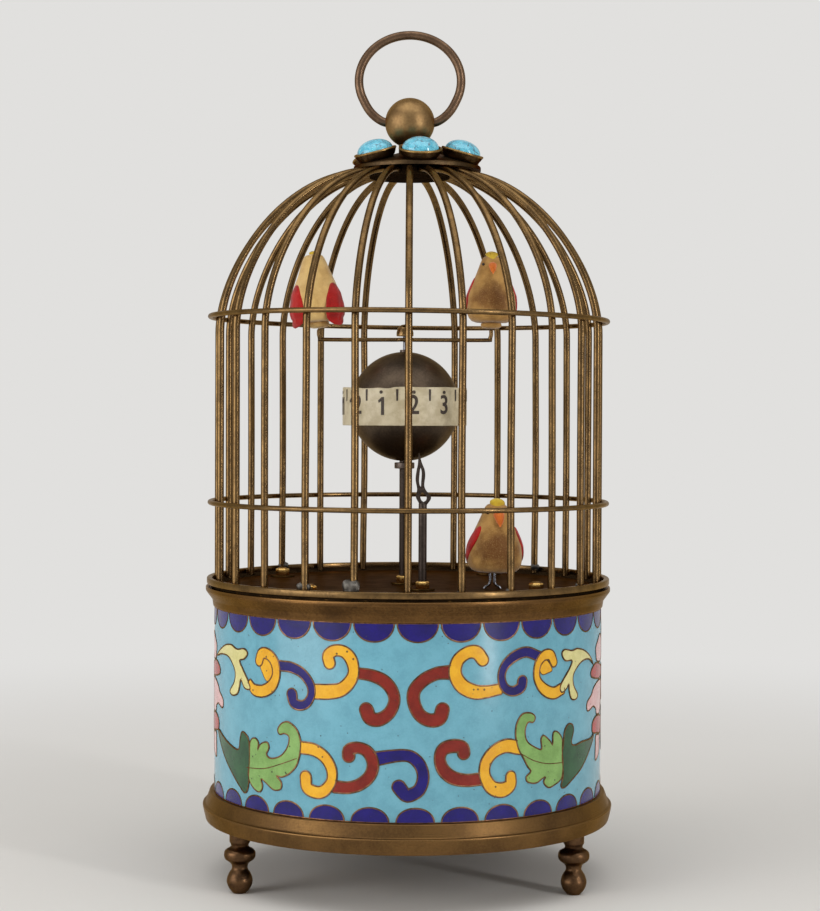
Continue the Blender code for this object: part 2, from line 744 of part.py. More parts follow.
def make_bail(brass):
    """A ring whose ends turn in along the hole through the finial, on which it swings."""
    body = axis("bail_axis", (0, 0), FINIAL_MIDDLE)
    mouth = FINIAL_RADIUS
    start = -math.acos((mouth + 2 * BAIL_WIRE_RADIUS) / BAIL_RING_RADIUS)
    steps = 18
    ring = []
    for i in range(steps + 1):
        angle = start + (math.pi - 2 * start) * i / steps
        x, z = polar(BAIL_RING_RADIUS, angle)
        ring.append((x, 0, z * BAIL_RING_HEIGHT / BAIL_RING_RADIUS + BAIL_RISE))
    lift = ring[0][2]
    side = [(BAIL_TAIL, 0, 0), (mouth, 0, 0), (mouth + BAIL_WIRE_RADIUS, 0, 0.28 * lift)]
    other = [(-x, y, z) for x, y, z in side[::-1]]
    wire("bail_ring", side + ring + other, BAIL_WIRE_RADIUS, brass, parent=body)


# Globe, pointer and perch

def make_globe(bronze, ivory, brass, gold):
    body = axis("globe_axis", CLOCK)
    collar = GLOBE_MIDDLE - GLOBE_RADIUS - SEAT_GAP
    pipe_top = GLOBE_TOP + 0.4 * MM
    pipe = [
        (PIPE_BORE_RADIUS, PLATE_TOP + SEAT_GAP),
        (PIPE_RADIUS, PLATE_TOP + SEAT_GAP),
        (PIPE_RADIUS, collar - PIPE_COLLAR_HEIGHT),
        (PIPE_COLLAR_RADIUS, collar - PIPE_COLLAR_HEIGHT),
        (PIPE_COLLAR_RADIUS, collar),
        (PIPE_RADIUS, collar),
        (PIPE_RADIUS, pipe_top),
        (PIPE_BORE_RADIUS, pipe_top),
    ]
    node("hour_pipe", turned(pipe, SMALL_SIDES, ring=True), bronze, parent=body)

    bore = PIPE_RADIUS + SEAT_GAP
    rim = BAND_WEB / 2 + SEAT_GAP
    shell = []
    for radius, turn, steps in ((GLOBE_RADIUS, 1, 5), (GLOBE_RADIUS - GLOBE_WALL, -1, 3)):
        first, last = math.asin(rim / radius), math.acos(bore / radius)
        arc = [first + (last - first) * i / steps for i in range(steps + 1)]
        shell += [(radius * math.cos(a), radius * math.sin(a)) for a in arc[::turn]]
    upper = turned(shell, 18, ring=True)
    lower = placed(turned(shell, 18, ring=True), Matrix.Rotation(math.pi, 4, "X"))
    node("globe_upper", shifted(upper, 0, 0, GLOBE_MIDDLE), bronze, parent=body)
    node("globe_lower", shifted(lower, 0, 0, GLOBE_MIDDLE), bronze, parent=body)

    low, high = GLOBE_MIDDLE - BAND_HEIGHT / 2, GLOBE_MIDDLE + BAND_HEIGHT / 2
    web_low, web_high = GLOBE_MIDDLE - BAND_WEB / 2, GLOBE_MIDDLE + BAND_WEB / 2
    inner, tongue = BAND_RADIUS - BAND_THICKNESS, GLOBE_RADIUS - 2 * GLOBE_WALL
    band = [
        (BAND_RADIUS, low),
        (BAND_RADIUS, high),
        (inner, high),
        (inner, web_high),
        (tongue, web_high),
        (tongue, web_low),
        (inner, web_low),
        (inner, low),
    ]
    node("hour_band", turned(band, 20, ring=True), ivory, parent=body)

    ring = circle(PIPE_RADIUS + SEAT_GAP)
    mesh_angle = direction(CLOCK, MOTION)
    teeth = toothed(HOUR_TEETH, HOUR_MODULE, mesh_angle)
    wheel = extruded([teeth, ring], HOUR_LEVEL, HOUR_LEVEL + WHEEL_THICKNESS)
    node("hour_wheel", wheel, gold, parent=body)


def hex_nut(bore):
    """A six-sided nut round a stud, on the floor."""
    loops = [circle(bore + NUT_EXTRA_RADIUS, 6), circle(bore, 8)]
    return extruded(loops, CAGE_BOTTOM, CAGE_BOTTOM + NUT_HEIGHT)


def pointer_place():
    return CLOCK + Vector((POINTER_SIDE, -POINTER_REACH))


def hand_outline():
    """A serpentine hand: a wavy blade that swells into an eye and ends in a point."""
    steps = 10
    wide = POINTER_HAND_WIDTH
    left, right = [], []
    for i in range(steps + 1):
        t = i / steps
        sway = wide * (0.55 * math.sin(2.2 * math.pi * t) * (1 - t) - t)
        half = wide * (0.35 + 0.95 * math.exp(-(((t - 0.24) / 0.13) ** 2)) + 0.3 * (1 - t))
        half *= 1 - 0.8 * max(0.0, t - 0.6) / 0.4
        height = t * POINTER_HAND_HEIGHT
        left.append((sway - half, height))
        right.append((sway + half, height))
    eye = circle(0.5 * wide, 6, (0.15 * wide, 0.24 * POINTER_HAND_HEIGHT))
    return [left + right[::-1], eye]


def make_pointer(bronze, gold):
    place = pointer_place()
    foot = FLOOR_BOTTOM - POINTER_TENON
    top = FLOOR_TOP + POINTER_ROD_HEIGHT
    hand = extruded(hand_outline(), -POINTER_HAND_THICKNESS / 2, POINTER_HAND_THICKNESS / 2)
    placed(hand, Matrix.Rotation(math.pi / 2, 4, "X"))
    shifted(hand, 0, 0, top - POINTER_RADIUS)
    node("pointer", rod(POINTER_RADIUS, foot, top), bronze, (*place, 0), add=[hand])
    for i, spot in enumerate(post_places(), 1):
        node(f"floor_nut_{i}", hex_nut(POST_STUD_RADIUS + SEAT_GAP), gold, (*spot, 0))
    node("pointer_nut", hex_nut(POINTER_RADIUS + SEAT_GAP), gold, (*place, 0))
    node("pipe_nut", hex_nut(PIPE_RADIUS + SEAT_GAP), gold, (*CLOCK, 0))


def bird_body():
    """A plump pear: its side from the seat to the crown of the head."""
    r, h = BIRD_RADIUS, BIRD_HEIGHT
    return [
        (0, 0),
        (0.55 * r, 0),
        (0.86 * r, 0.08 * h),
        (r, 0.24 * h),
        (0.97 * r, 0.4 * h),
        (0.82 * r, 0.57 * h),
        (0.66 * r, 0.72 * h),
        (0.56 * r, 0.85 * h),
        (0.34 * r, 0.96 * h),
        (0, h),
    ]


def wing(side):
    """A patch laid over the body's side, drawn in towards its ends."""
    heights = (0.09, 0.2, 0.38, 0.55)
    spans = (0.2, 0.8, 1.0, 0.2)
    reach = math.radians(46)
    profile = bird_body()[1:]
    solid = bmesh.new()
    rows = []
    for share, span in zip(heights, spans):
        height = share * BIRD_HEIGHT
        below = max(i for i, point in enumerate(profile) if point[1] <= height)
        (r0, h0), (r1, h1) = profile[below], profile[below + 1]
        radius = r0 + (r1 - r0) * (height - h0) / (h1 - h0)
        shell = []
        for off in (-0.6 * MM, WING_THICKNESS * (0.3 + 0.7 * span)):
            row = []
            for turn in (-1.0, 0.0, 1.0):
                angle = turn * span * reach + (0 if side > 0 else math.pi)
                row.append(solid.verts.new((*polar(radius + off, angle), height)))
            shell.append(row)
        rows.append(shell[0] + shell[1][::-1])
    for low, high in zip(rows, rows[1:]):
        bottom, top = low[1:] + low[:1], high[1:] + high[:1]
        for corners in zip(low, bottom, top, high):
            solid.faces.new(corners)
    solid.faces.new(rows[0])
    solid.faces.new(rows[-1])
    bmesh.ops.recalc_face_normals(solid, faces=solid.faces[:])
    return solid


def crest():
    top = BIRD_HEIGHT
    spread = 0.3 * BIRD_RADIUS
    return turned([(0, top - 0.6 * MM), (spread, top - 0.6 * MM),
                   (0.6 * spread, top + 0.7 * CREST_HEIGHT), (0, top + CREST_HEIGHT)], 8)


def beak():
    """A cone that points ahead from the face."""
    cone = turned([(0, 0), (0.9 * MM, 0), (0.5 * MM, 0.5 * BEAK_LENGTH), (0, BEAK_LENGTH)], 8)
    placed(cone, Matrix.Rotation(math.pi / 2, 4, "X"))
    return shifted(cone, 0, -0.6 * BIRD_RADIUS - SEAT_GAP, 0.8 * BIRD_HEIGHT)


def make_bird(name, place, seat, facing, flock, orange, parent=None):
    """A flocked bird with its wings in relief, and its beak; facing turns it from the front."""
    turn = Matrix.Translation((0, 0, seat)) @ Matrix.Rotation(facing, 4, "Z")
    relief = [placed(part, turn) for part in (wing(1), wing(-1), crest())]
    node(name, placed(turned(bird_body(), SMALL_SIDES), turn), flock, (*place, 0), parent, add=relief)
    node(f"{name}_beak", placed(beak(), turn), orange, (*place, 0), parent)


def make_perch(brass, steel, flock, orange):
    body = axis("perch_axis", CLOCK)
    wire_top = PERCH_LEVEL + PERCH_WIRE_RADIUS
    nut_foot = wire_top + SEAT_GAP
    stud_top = nut_foot + 0.5 * PERCH_NUT_HEIGHT
    arbor = rod(PERCH_ARBOR_RADIUS, PLATE_LOW + SEAT_GAP, stud_top, 8)
    node("perch_arbor", arbor, steel, parent=body)

    swerve = PERCH_ARBOR_RADIUS + PERCH_WIRE_RADIUS + SEAT_GAP
    bend, tip = PERCH_BEND, PERCH_LEVEL + 1.9 * PERCH_BEND
    half = [
        (PERCH_ARM, 0, tip),
        (PERCH_ARM, 0, PERCH_LEVEL + bend),
        (PERCH_ARM - 0.3 * bend, 0, PERCH_LEVEL + 0.3 * bend),
        (PERCH_ARM - bend, 0, PERCH_LEVEL),
        (3 * bend, 0, PERCH_LEVEL),
        (1.2 * bend, -0.8 * swerve, PERCH_LEVEL),
    ]
    other = [(-x, y, z) for x, y, z in half[::-1]]
    path = half + [(0, -swerve, PERCH_LEVEL)] + other
    wire("perch_wire", path, PERCH_WIRE_RADIUS, brass, parent=body)

    r, low, tall = PERCH_NUT_RADIUS, nut_foot, PERCH_NUT_HEIGHT
    bore = PERCH_ARBOR_RADIUS + SEAT_GAP
    deep = stud_top + SEAT_GAP
    nut = [(0, low), (r, low), (r, low + 0.3 * tall), (0.85 * r, low + 0.7 * tall),
           (0.45 * r, low + 0.95 * tall), (0, low + tall)]
    hole = rod(bore, low - MM, deep, 8)
    node("perch_nut", turned(nut, 12), brass, parent=body, cut=[hole])

    seat = tip + SEAT_GAP
    make_bird("left_bird", (-PERCH_ARM, 0), seat, math.radians(165), flock, orange, body)
    make_bird("right_bird", (PERCH_ARM, 0), seat, math.radians(12), flock, orange, body)
    return body


def leg_places():
    half = Vector((0.3 * BIRD_RADIUS, 0))
    return [LOWER_BIRD_PLACE - half, LOWER_BIRD_PLACE + half]


def make_lower_bird(steel, flock, orange):
    """The third bird, on a wire staple pushed up through the floor."""
    seat = FLOOR_TOP + LOWER_BIRD_LEG_HEIGHT
    make_bird("lower_bird", LOWER_BIRD_PLACE, seat, math.radians(-8), flock, orange)
    left, right = leg_places()
    top, under = seat - SEAT_GAP, FLOOR_BOTTOM - SEAT_GAP - LOWER_BIRD_LEG_RADIUS
    path = [(*left, top), (*left, under), (*right, under), (*right, top)]
    wire("lower_bird_legs", path, LOWER_BIRD_LEG_RADIUS, steel)


# Movement frame

def make_frame(gold):
    """Two plates: pillars are riveted in the lower one, and posts up to the floor in the upper."""
    small = TRAIN_ARBOR_RADIUS + RUN_GAP
    pivots = [
        circle(PERCH_ARBOR_RADIUS + RUN_GAP, 6, CLOCK),
        circle(BARREL_ARBOR_RADIUS + RUN_GAP, 8, BARREL),
        circle(MINUTE_ARBOR_RADIUS + RUN_GAP, 8, MINUTE),
        circle(small, 6, THIRD),
        circle(small, 6, ESCAPE),
        circle(small, 6, BALANCE),
    ]
    loops = [circle(PLATE_RADIUS, RING_SIDES, CLOCK), *pivots]
    stud, post = POST_STUD_RADIUS, POST_RADIUS
    flange_end = FLANGE_TOP - 0.8 * (FLANGE_TOP - LEDGE_BOTTOM) + SEAT_GAP
    high, joint = PLATE_HIGH - SEAT_GAP, PLATE_TOP + 2.5 * MM
    pillar = [(0, flange_end), (stud, flange_end), (stud, DRUM_BOTTOM), (post, DRUM_BOTTOM),
              (post, high), (stud, high), (stud, joint), (0, joint)]
    pillars = [shifted(turned(pillar, 6), *place) for place in post_places()]
    node("bottom_plate", extruded(loops, PLATE_LOW, TRAIN_LOW), gold, add=[group(pillars)])

    middle, head = PLATE_HIGH + 0.5 * PLATE_THICKNESS, FLOOR_BOTTOM - SEAT_GAP
    tip = CAGE_BOTTOM + NUT_HEIGHT + 0.2 * MM
    upper = [(0, middle), (post, middle), (post, head), (stud, head), (stud, tip), (0, tip)]
    posts = [shifted(turned(upper, 6), *place) for place in post_places()]
    motion_stud = rod(MOTION_STUD_RADIUS, middle, HOUR_LEVEL + WHEEL_THICKNESS)
    posts.append(shifted(motion_stud, *MOTION))
    bores = [
        shifted(rod(stud + SEAT_GAP, PLATE_HIGH - MM, joint + SEAT_GAP, 6), *place)
        for place in post_places()
    ]
    node("top_plate", extruded(loops, PLATE_HIGH, PLATE_TOP), gold, add=[group(posts)],
         cut=[group(bores)])


# Going train

def arbor_ends():
    """A train arbor's pivots, inside the two plates."""
    return PLATE_LOW + SEAT_GAP, PLATE_TOP - SEAT_GAP


def wheel_on(teeth, module, towards, level, hub, spoke):
    """A crossed-out wheel with a tooth on the line to the pinion that it drives."""
    rim = root_radius(teeth, module) - 2.2 * module
    loops = [toothed(teeth, module, towards), *crossed(rim, hub, spoke)]
    return extruded(loops, level, level + WHEEL_THICKNESS)


def pinion_on(teeth, module, towards, level):
    """A pinion a little longer than the wheel that drives it, with a gap on the line to it."""
    outline = toothed(teeth, module, towards, tooth=False)
    return extruded([outline], level - SEAT_GAP, level + WHEEL_THICKNESS + SEAT_GAP)


def make_barrel(gold, steel):
    body = axis("barrel_axis", BARREL)
    bore = BARREL_ARBOR_RADIUS + RUN_GAP
    low, high = BARREL_LEVEL, BARREL_LEVEL + BARREL_HEIGHT
    mesh_angle = direction(BARREL, MINUTE)
    disc = extruded(
        [toothed(BARREL_TEETH, BARREL_MODULE, mesh_angle), circle(bore)],
        low,
        low + WHEEL_THICKNESS,
    )
    outer = root_radius(BARREL_TEETH, BARREL_MODULE) - 2 * BARREL_MODULE
    wall = tube(outer, outer - BARREL_WALL, low + 0.5 * WHEEL_THICKNESS, high)
    node("barrel", disc, gold, parent=body, add=[wall])
    strip = 0.3 * MM
    first = BARREL_ARBOR_RADIUS + SEAT_GAP
    last = outer - BARREL_WALL - SEAT_GAP - strip
    coil = spiral(first, last, MAINSPRING_TURNS, strip, low + WHEEL_THICKNESS + SEAT_GAP,
                  high - 2 * SEAT_GAP)
    node("mainspring", coil, steel, parent=body)


def make_centre_wheel(gold):
    body = axis("centre_axis", MINUTE)
    bore = MINUTE_ARBOR_RADIUS + RUN_GAP
    sleeve = bore + SLEEVE_WALL
    to_third, to_barrel = direction(MINUTE, THIRD), direction(MINUTE, BARREL)
    wheel = wheel_on(CENTRE_TEETH, CENTRE_MODULE, to_third, CENTRE_LEVEL, 2.2 * sleeve, 0.6 * MM)
    pinion = pinion_on(CENTRE_PINION_TEETH, BARREL_MODULE, to_barrel, BARREL_LEVEL)
    top = CENTRE_LEVEL + 1.5 * WHEEL_THICKNESS
    pipe = rod(sleeve, BARREL_LEVEL + 0.5 * WHEEL_THICKNESS, top)
    hole = rod(bore, TRAIN_LOW, top + MM)
    node("centre_wheel", wheel, gold, parent=body, add=[pipe, pinion], cut=[hole])


def make_third_wheel(gold, steel):
    body = axis("third_axis", THIRD)
    radius = TRAIN_ARBOR_RADIUS
    to_centre, to_escape = direction(THIRD, MINUTE), direction(THIRD, ESCAPE)
    wheel = wheel_on(THIRD_TEETH, THIRD_MODULE, to_escape, THIRD_LEVEL, 4 * radius, 0.5 * MM)
    pinion = pinion_on(THIRD_PINION_TEETH, CENTRE_MODULE, to_centre, CENTRE_LEVEL)
    node("third_wheel", wheel, gold, parent=body, add=[pinion, rod(radius, *arbor_ends(), 8)])


def escape_outline():
    """Pointed teeth, with one tooth on the line to the pallet arbor."""
    pitch = 2 * math.pi / ESCAPE_TEETH
    start = ESCAPE_DIRECTION + math.pi
    tip, root = ESCAPE_RADIUS, ESCAPE_RADIUS - ESCAPE_TOOTH_DEPTH
    shape = ((root, -0.2), (tip, -0.035), (tip, 0.035), (root, 0.2))
    return [
        tuple(polar(radius, start + pitch * (i + share)))
        for i in range(ESCAPE_TEETH)
        for radius, share in shape
    ]


def make_escape_wheel(gold):
    body = axis("escape_axis", ESCAPE)
    radius = TRAIN_ARBOR_RADIUS
    loops = [escape_outline(), *crossed(0.6 * ESCAPE_RADIUS, 3 * radius, 0.4 * MM)]
    wheel = extruded(loops, ESCAPE_LEVEL, ESCAPE_LEVEL + WHEEL_THICKNESS)
    pinion = pinion_on(ESCAPE_PINION_TEETH, THIRD_MODULE, direction(ESCAPE, THIRD), THIRD_LEVEL)
    node("escape_wheel", wheel, gold, parent=body, add=[pinion, rod(radius, *arbor_ends(), 8)])


def strip_between(start, end, half):
    """A straight arm's four corners."""
    along = (end - start).normalized()
    side = Vector((-along.y, along.x)) * half
    return [tuple(start - side), tuple(end - side), tuple(end + side), tuple(start + side)]


def make_pallet_lever(steel, body):
    """Two pallets over the escape wheel and a fork for the balance, on the perch's arbor."""
    low, high = ESCAPE_LEVEL + 0.1 * MM, ESCAPE_LEVEL + WHEEL_THICKNESS - 0.1 * MM
    bore = PERCH_ARBOR_RADIUS + SEAT_GAP
    hub = 1.2 * MM
    wheel = ESCAPE - CLOCK
    back = ESCAPE_DIRECTION + math.pi
    arms = []
    for side in (-1, 1):
        angle = back + side * PALLET_ANGLE
        inner = polar(ESCAPE_RADIUS + PALLET_LIFT, angle, wheel)
        outer = polar(ESCAPE_RADIUS + PALLET_LIFT + 2.2 * MM, angle, wheel)
        elbow = polar(ESCAPE_RADIUS + PALLET_LIFT + 1.9 * MM, angle, wheel)
        start = elbow.normalized() * 0.5 * hub
        arms.append(extruded([strip_between(start, elbow, 0.3 * MM)], low, high))
        arms.append(extruded([strip_between(outer, inner, PALLET_WIDTH / 2)], low, high))
    notch = PIN_RADIUS + 0.2 * MM
    prong, reach, depth = 0.35 * MM, FORK_LENGTH + 0.6 * MM, FORK_LENGTH - 0.6 * MM
    fork = [(0.5 * hub, -0.35 * MM), (depth - 0.5 * MM, -0.35 * MM),
            (depth, -notch - prong), (reach, -notch - prong), (reach, -notch),
            (depth, -notch), (depth, notch), (reach, notch), (reach, notch + prong),
            (depth, notch + prong), (depth - 0.5 * MM, 0.35 * MM),
            (0.5 * hub, 0.35 * MM)]
    arms.append(placed(extruded([fork], low, high),
                       Matrix.Rotation(BALANCE_DIRECTION, 4, "Z")))
    collar = rod(hub, low - 0.4 * MM, high + 0.4 * MM)
    node("pallet_lever", collar, steel, parent=body, add=arms, cut=[rod(bore, low - MM, high + MM)])


def make_balance(gold, steel):
    body = axis("balance_axis", BALANCE)
    staff = TRAIN_ARBOR_RADIUS
    rim = BALANCE_RADIUS - BALANCE_RIM
    loops = [circle(BALANCE_RADIUS, 20), *crossed(rim, 3 * staff, 0.4 * MM, 3, 4)]
    wheel = extruded(loops, BALANCE_LEVEL, BALANCE_LEVEL + BALANCE_THICKNESS)
    roller_low = ESCAPE_LEVEL + WHEEL_THICKNESS + 0.5 * LAYER_GAP
    roller = rod(PIN_CIRCLE + 2 * PIN_RADIUS, roller_low, roller_low + 0.5 * MM)
    back = BALANCE_DIRECTION + math.pi
    pin = shifted(rod(PIN_RADIUS, ESCAPE_LEVEL, roller_low + 0.2 * MM, 8),
                  *polar(PIN_CIRCLE, back))
    node("balance_wheel", wheel, gold, parent=body,
         add=[rod(staff, *arbor_ends(), 8), roller, pin])
    first = staff + SEAT_GAP
    low = CENTRE_LEVEL - 0.2 * MM
    coil = spiral(first, HAIRSPRING_RADIUS, HAIRSPRING_TURNS, 0.15 * MM, low, low + 0.5 * MM)
    node("hairspring", coil, steel, parent=body)


# Motion work, winding and setting

def make_motion_work(gold, steel):
    body = axis("motion_axis", MOTION)
    bore = MOTION_STUD_RADIUS + RUN_GAP
    to_minute, to_clock = direction(MOTION, MINUTE), direction(MOTION, CLOCK)
    wheel = toothed(MOTION_TEETH, MOTION_MODULE, to_minute)
    pinion = toothed(MOTION_PINION_TEETH, HOUR_MODULE, to_clock, tooth=False)
    top = HOUR_LEVEL + WHEEL_THICKNESS + SEAT_GAP
    node(
        "motion_wheel",
        extruded([wheel], MOTION_LEVEL, MOTION_LEVEL + WHEEL_THICKNESS),
        gold,
        parent=body,
        add=[extruded([pinion], MOTION_LEVEL + 0.5 * WHEEL_THICKNESS, top)],
        cut=[rod(bore, PLATE_TOP, top + MM)],
    )

    body = axis("minute_axis", MINUTE)
    top = MOTION_LEVEL + 1.5 * WHEEL_THICKNESS
    knob_low = KEY_TOP - KNOB_HEIGHT
    arbor = rod(MINUTE_ARBOR_RADIUS, knob_low + SEAT_GAP, top, 10)
    teeth = toothed(CANNON_TEETH, MOTION_MODULE, direction(MINUTE, MOTION), False)
    cannon = extruded([teeth], PLATE_TOP + SEAT_GAP, top - 0.2 * MM)
    node("minute_arbor", arbor, steel, parent=body, add=[cannon])
    bore = MINUTE_ARBOR_RADIUS + SEAT_GAP
    rim = circle(KNOB_RADIUS, 16)
    grip = [tuple(Vector(p) * (0.93 if i % 2 else 1.0)) for i, p in enumerate(rim)]
    knob = extruded([grip, circle(bore, 8)], knob_low, KEY_TOP)
    node("set_knob", knob, gold, parent=body)


def make_winding(gold, steel):
    body = axis("winding_axis", BARREL)
    radius = BARREL_ARBOR_RADIUS
    key_low = KEY_TOP - KEY_HUB_HEIGHT
    pitch = 2 * math.pi / RATCHET_TEETH
    teeth = []
    for i in range(RATCHET_TEETH):
        teeth.append(tuple(polar(RATCHET_RADIUS, pitch * i)))
        teeth.append(tuple(polar(RATCHET_RADIUS - RATCHET_TOOTH_DEPTH, pitch * (i + 0.15))))
    ratchet = extruded([teeth], RATCHET_LEVEL, RATCHET_LEVEL + RATCHET_THICKNESS)
    arbor = rod(radius, key_low + SEAT_GAP, arbor_ends()[1])
    node("winding_arbor", arbor, steel, parent=body, add=[ratchet])

    half, low = KEY_WIDTH / 2, KEY_TOP - KEY_HUB_HEIGHT - KEY_DROP
    hub = tube(radius + SEAT_GAP + 0.9 * MM, radius + SEAT_GAP, key_low, KEY_TOP, SMALL_SIDES)
    middle = (low + key_low) / 2 + 0.2 * MM
    tall = key_low - low
    lobe = [
        (half * math.cos(a) * (0.75 + 0.25 * math.cos(2 * a)), middle
         + tall * (0.3 + 0.2 * abs(math.cos(a))) * math.sin(a) * 1.1)
        for a in (2 * math.pi * i / 16 for i in range(16))
    ]
    eyes = [circle(0.9 * MM, 6, (side * 0.62 * half, middle)) for side in (-1, 1)]
    wings = extruded([lobe, *eyes], -KEY_THICKNESS / 2, KEY_THICKNESS / 2)
    placed(wings, Matrix.Rotation(math.pi / 2, 4, "X"))
    stem = rod(radius + SEAT_GAP + 0.9 * MM, middle, key_low + 0.2 * MM)
    node("winding_key", hub, gold, parent=body, add=[stem, wings])

    tooth_clear = RATCHET_RADIUS + SEAT_GAP
    click_angle = math.radians(60)
    tip = polar(tooth_clear, click_angle)
    tail = polar(tooth_clear + 4 * MM, click_angle + math.radians(38))
    out = (tail - tip).normalized()
    side = Vector((-out.y, out.x))
    click = [tip, tip + out * 1.2 * MM - side * 0.6 * MM, tail - side * 1.0 * MM,
             tail + out * 1.0 * MM, tail + side * 1.0 * MM, tip + out * 1.0 * MM + side * 0.4 * MM]
    loops = [[tuple(point) for point in click]]
    solid = extruded(loops, RATCHET_LEVEL, RATCHET_LEVEL + RATCHET_THICKNESS)
    node("click", shifted(solid, *BARREL), steel)


def main():
    for thing in list(bpy.data.objects):
        bpy.data.objects.remove(thing, do_unlink=True)
    brass = finish("aged_brass", (0.36, 0.25, 0.13), 0.38, 1.0)
    dark_brass = finish("dark_brass", (0.2, 0.14, 0.08), 0.5, 1.0)
    gold = finish("bright_brass", (0.78, 0.57, 0.25), 0.28, 1.0)
    bronze = finish("dark_bronze", (0.2, 0.17, 0.15), 0.4, 0.9)
    steel = finish("blued_steel", (0.28, 0.29, 0.31), 0.35, 1.0)
    enamel = finish("blue_enamel", (0.18, 0.46, 0.58), 0.22)
    turquoise = finish("turquoise", (0.25, 0.62, 0.64), 0.3)
    ivory = finish("ivory", (0.8, 0.75, 0.62), 0.45)
    flock = finish("yellow_flock", (0.74, 0.47, 0.08), 0.95)
    orange = finish("orange_flock", (0.85, 0.35, 0.05), 0.9)

    make_feet(brass)
    make_base(brass, dark_brass)
    make_drum(enamel, brass, dark_brass)
    make_cage(brass)
    make_crown(brass, turquoise)
    make_finial(brass)
    make_bail(brass)
    make_globe(bronze, ivory, brass, gold)
    make_pointer(bronze, gold)
    perch = make_perch(brass, steel, flock, orange)
    make_lower_bird(steel, flock, orange)
    make_frame(gold)
    make_barrel(gold, steel)
    make_centre_wheel(gold)
    make_third_wheel(gold, steel)
    make_escape_wheel(gold)
    make_pallet_lever(steel, perch)
    make_balance(gold, steel)
    make_motion_work(gold, steel)
    make_winding(gold, steel)


main()
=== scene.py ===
import math

import bmesh
import bpy
import numpy as np
from mathutils import Matrix, Vector
from mathutils.geometry import delaunay_2d_cdt


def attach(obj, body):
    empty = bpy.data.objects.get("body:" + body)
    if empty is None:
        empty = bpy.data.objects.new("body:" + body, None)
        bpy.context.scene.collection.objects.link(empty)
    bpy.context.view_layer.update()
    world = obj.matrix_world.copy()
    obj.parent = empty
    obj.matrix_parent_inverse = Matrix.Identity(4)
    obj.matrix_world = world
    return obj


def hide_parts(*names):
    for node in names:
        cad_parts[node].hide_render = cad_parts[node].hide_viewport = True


# Shapes are worked out in millimetres, and addPiece puts them into the mesh in metres.
# Angles round the drum are in degrees from the front, with the right hand side positive.

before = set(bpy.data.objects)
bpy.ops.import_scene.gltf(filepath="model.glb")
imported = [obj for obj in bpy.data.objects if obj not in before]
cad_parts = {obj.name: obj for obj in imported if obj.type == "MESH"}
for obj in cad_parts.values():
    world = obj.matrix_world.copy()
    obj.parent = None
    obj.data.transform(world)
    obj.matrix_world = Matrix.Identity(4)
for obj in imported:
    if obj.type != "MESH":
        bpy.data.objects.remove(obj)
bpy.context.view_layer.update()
mm = 0.001
upright = (0.0, 0.0, 1.0)


# surfaces

# how much of an edge a corner may take up, how many points a curve has between two of its own, and
# how far a wire's closed end stands out and how wide it is there, as shares of its section
surfaceForm = {"edgeShare": 0.46, "curveSteps": 24, "endReach": 0.3, "endWidth": 0.72}


def angles(count, start=0.0):
    # count directions, evenly round a full turn
    return start + np.arange(count) * 2 * np.pi / count


def gridFaces(rows, columns, loopRows=False, loopColumns=False):
    # one quad between each four neighbours on a grid of rows by columns points
    row = np.arange(rows if loopRows else rows - 1)[:, None]
    column = np.arange(columns if loopColumns else columns - 1)[None, :]
    nextRow, nextColumn = (row + 1) % rows, (column + 1) % columns
    corners = [row * columns + column, row * columns + nextColumn,
               nextRow * columns + nextColumn, nextRow * columns + column]
    return np.stack(np.broadcast_arrays(*corners), -1).reshape(-1, 4)


def grid(points, loopRows=False, loopColumns=False):
    # a shape is its points and a list of face arrays
    rows, columns = points.shape[:2]
    return points.reshape(-1, 3), [gridFaces(rows, columns, loopRows, loopColumns)]


def joined(shapes):
    # several shapes as one
    shapes = list(shapes)
    starts = np.cumsum([0] + [len(points) for points, _ in shapes])
    faces = [part + start for (_, parts), start in zip(shapes, starts) for part in parts]
    return np.concatenate([points for points, _ in shapes]), faces


def moved(shape, matrix):
    # a shape turned and shifted by a 4 by 4 matrix
    points, faces = shape
    matrix = np.array(matrix)
    return points @ matrix[:3, :3].T + matrix[:3, 3], faces


def unit(vectors):
    # each vector at a length of 1
    return vectors / np.maximum(np.linalg.norm(vectors, axis=-1, keepdims=True), 1e-12)


def softCorners(profile, radius, steps=3, closed=False):
    # each corner gives way to a quadratic Bezier arc that leaves its two edges a radius away
    here = np.asarray(profile, float)
    before, after = np.roll(here, 1, 0) - here, np.roll(here, -1, 0) - here
    first, last = (np.minimum(radius / np.maximum(np.linalg.norm(edge, axis=1), 1e-9),
                              surfaceForm["edgeShare"]) for edge in (before, after))
    if not closed:
        first[[0, -1]] = last[[0, -1]] = 0
    start, end = here + before * first[:, None], here + after * last[:, None]
    t = np.linspace(0, 1, steps + 1)[None, :, None]
    arcs = start[:, None] * (1 - t) ** 2 + here[:, None] * 2 * t * (1 - t) + end[:, None] * t**2
    arcs = arcs.reshape(-1, here.shape[1])
    keep = np.linalg.norm(arcs - np.roll(arcs, 1, 0), axis=1) > 1e-6
    if not closed:
        keep[0] = True
    return arcs[keep]


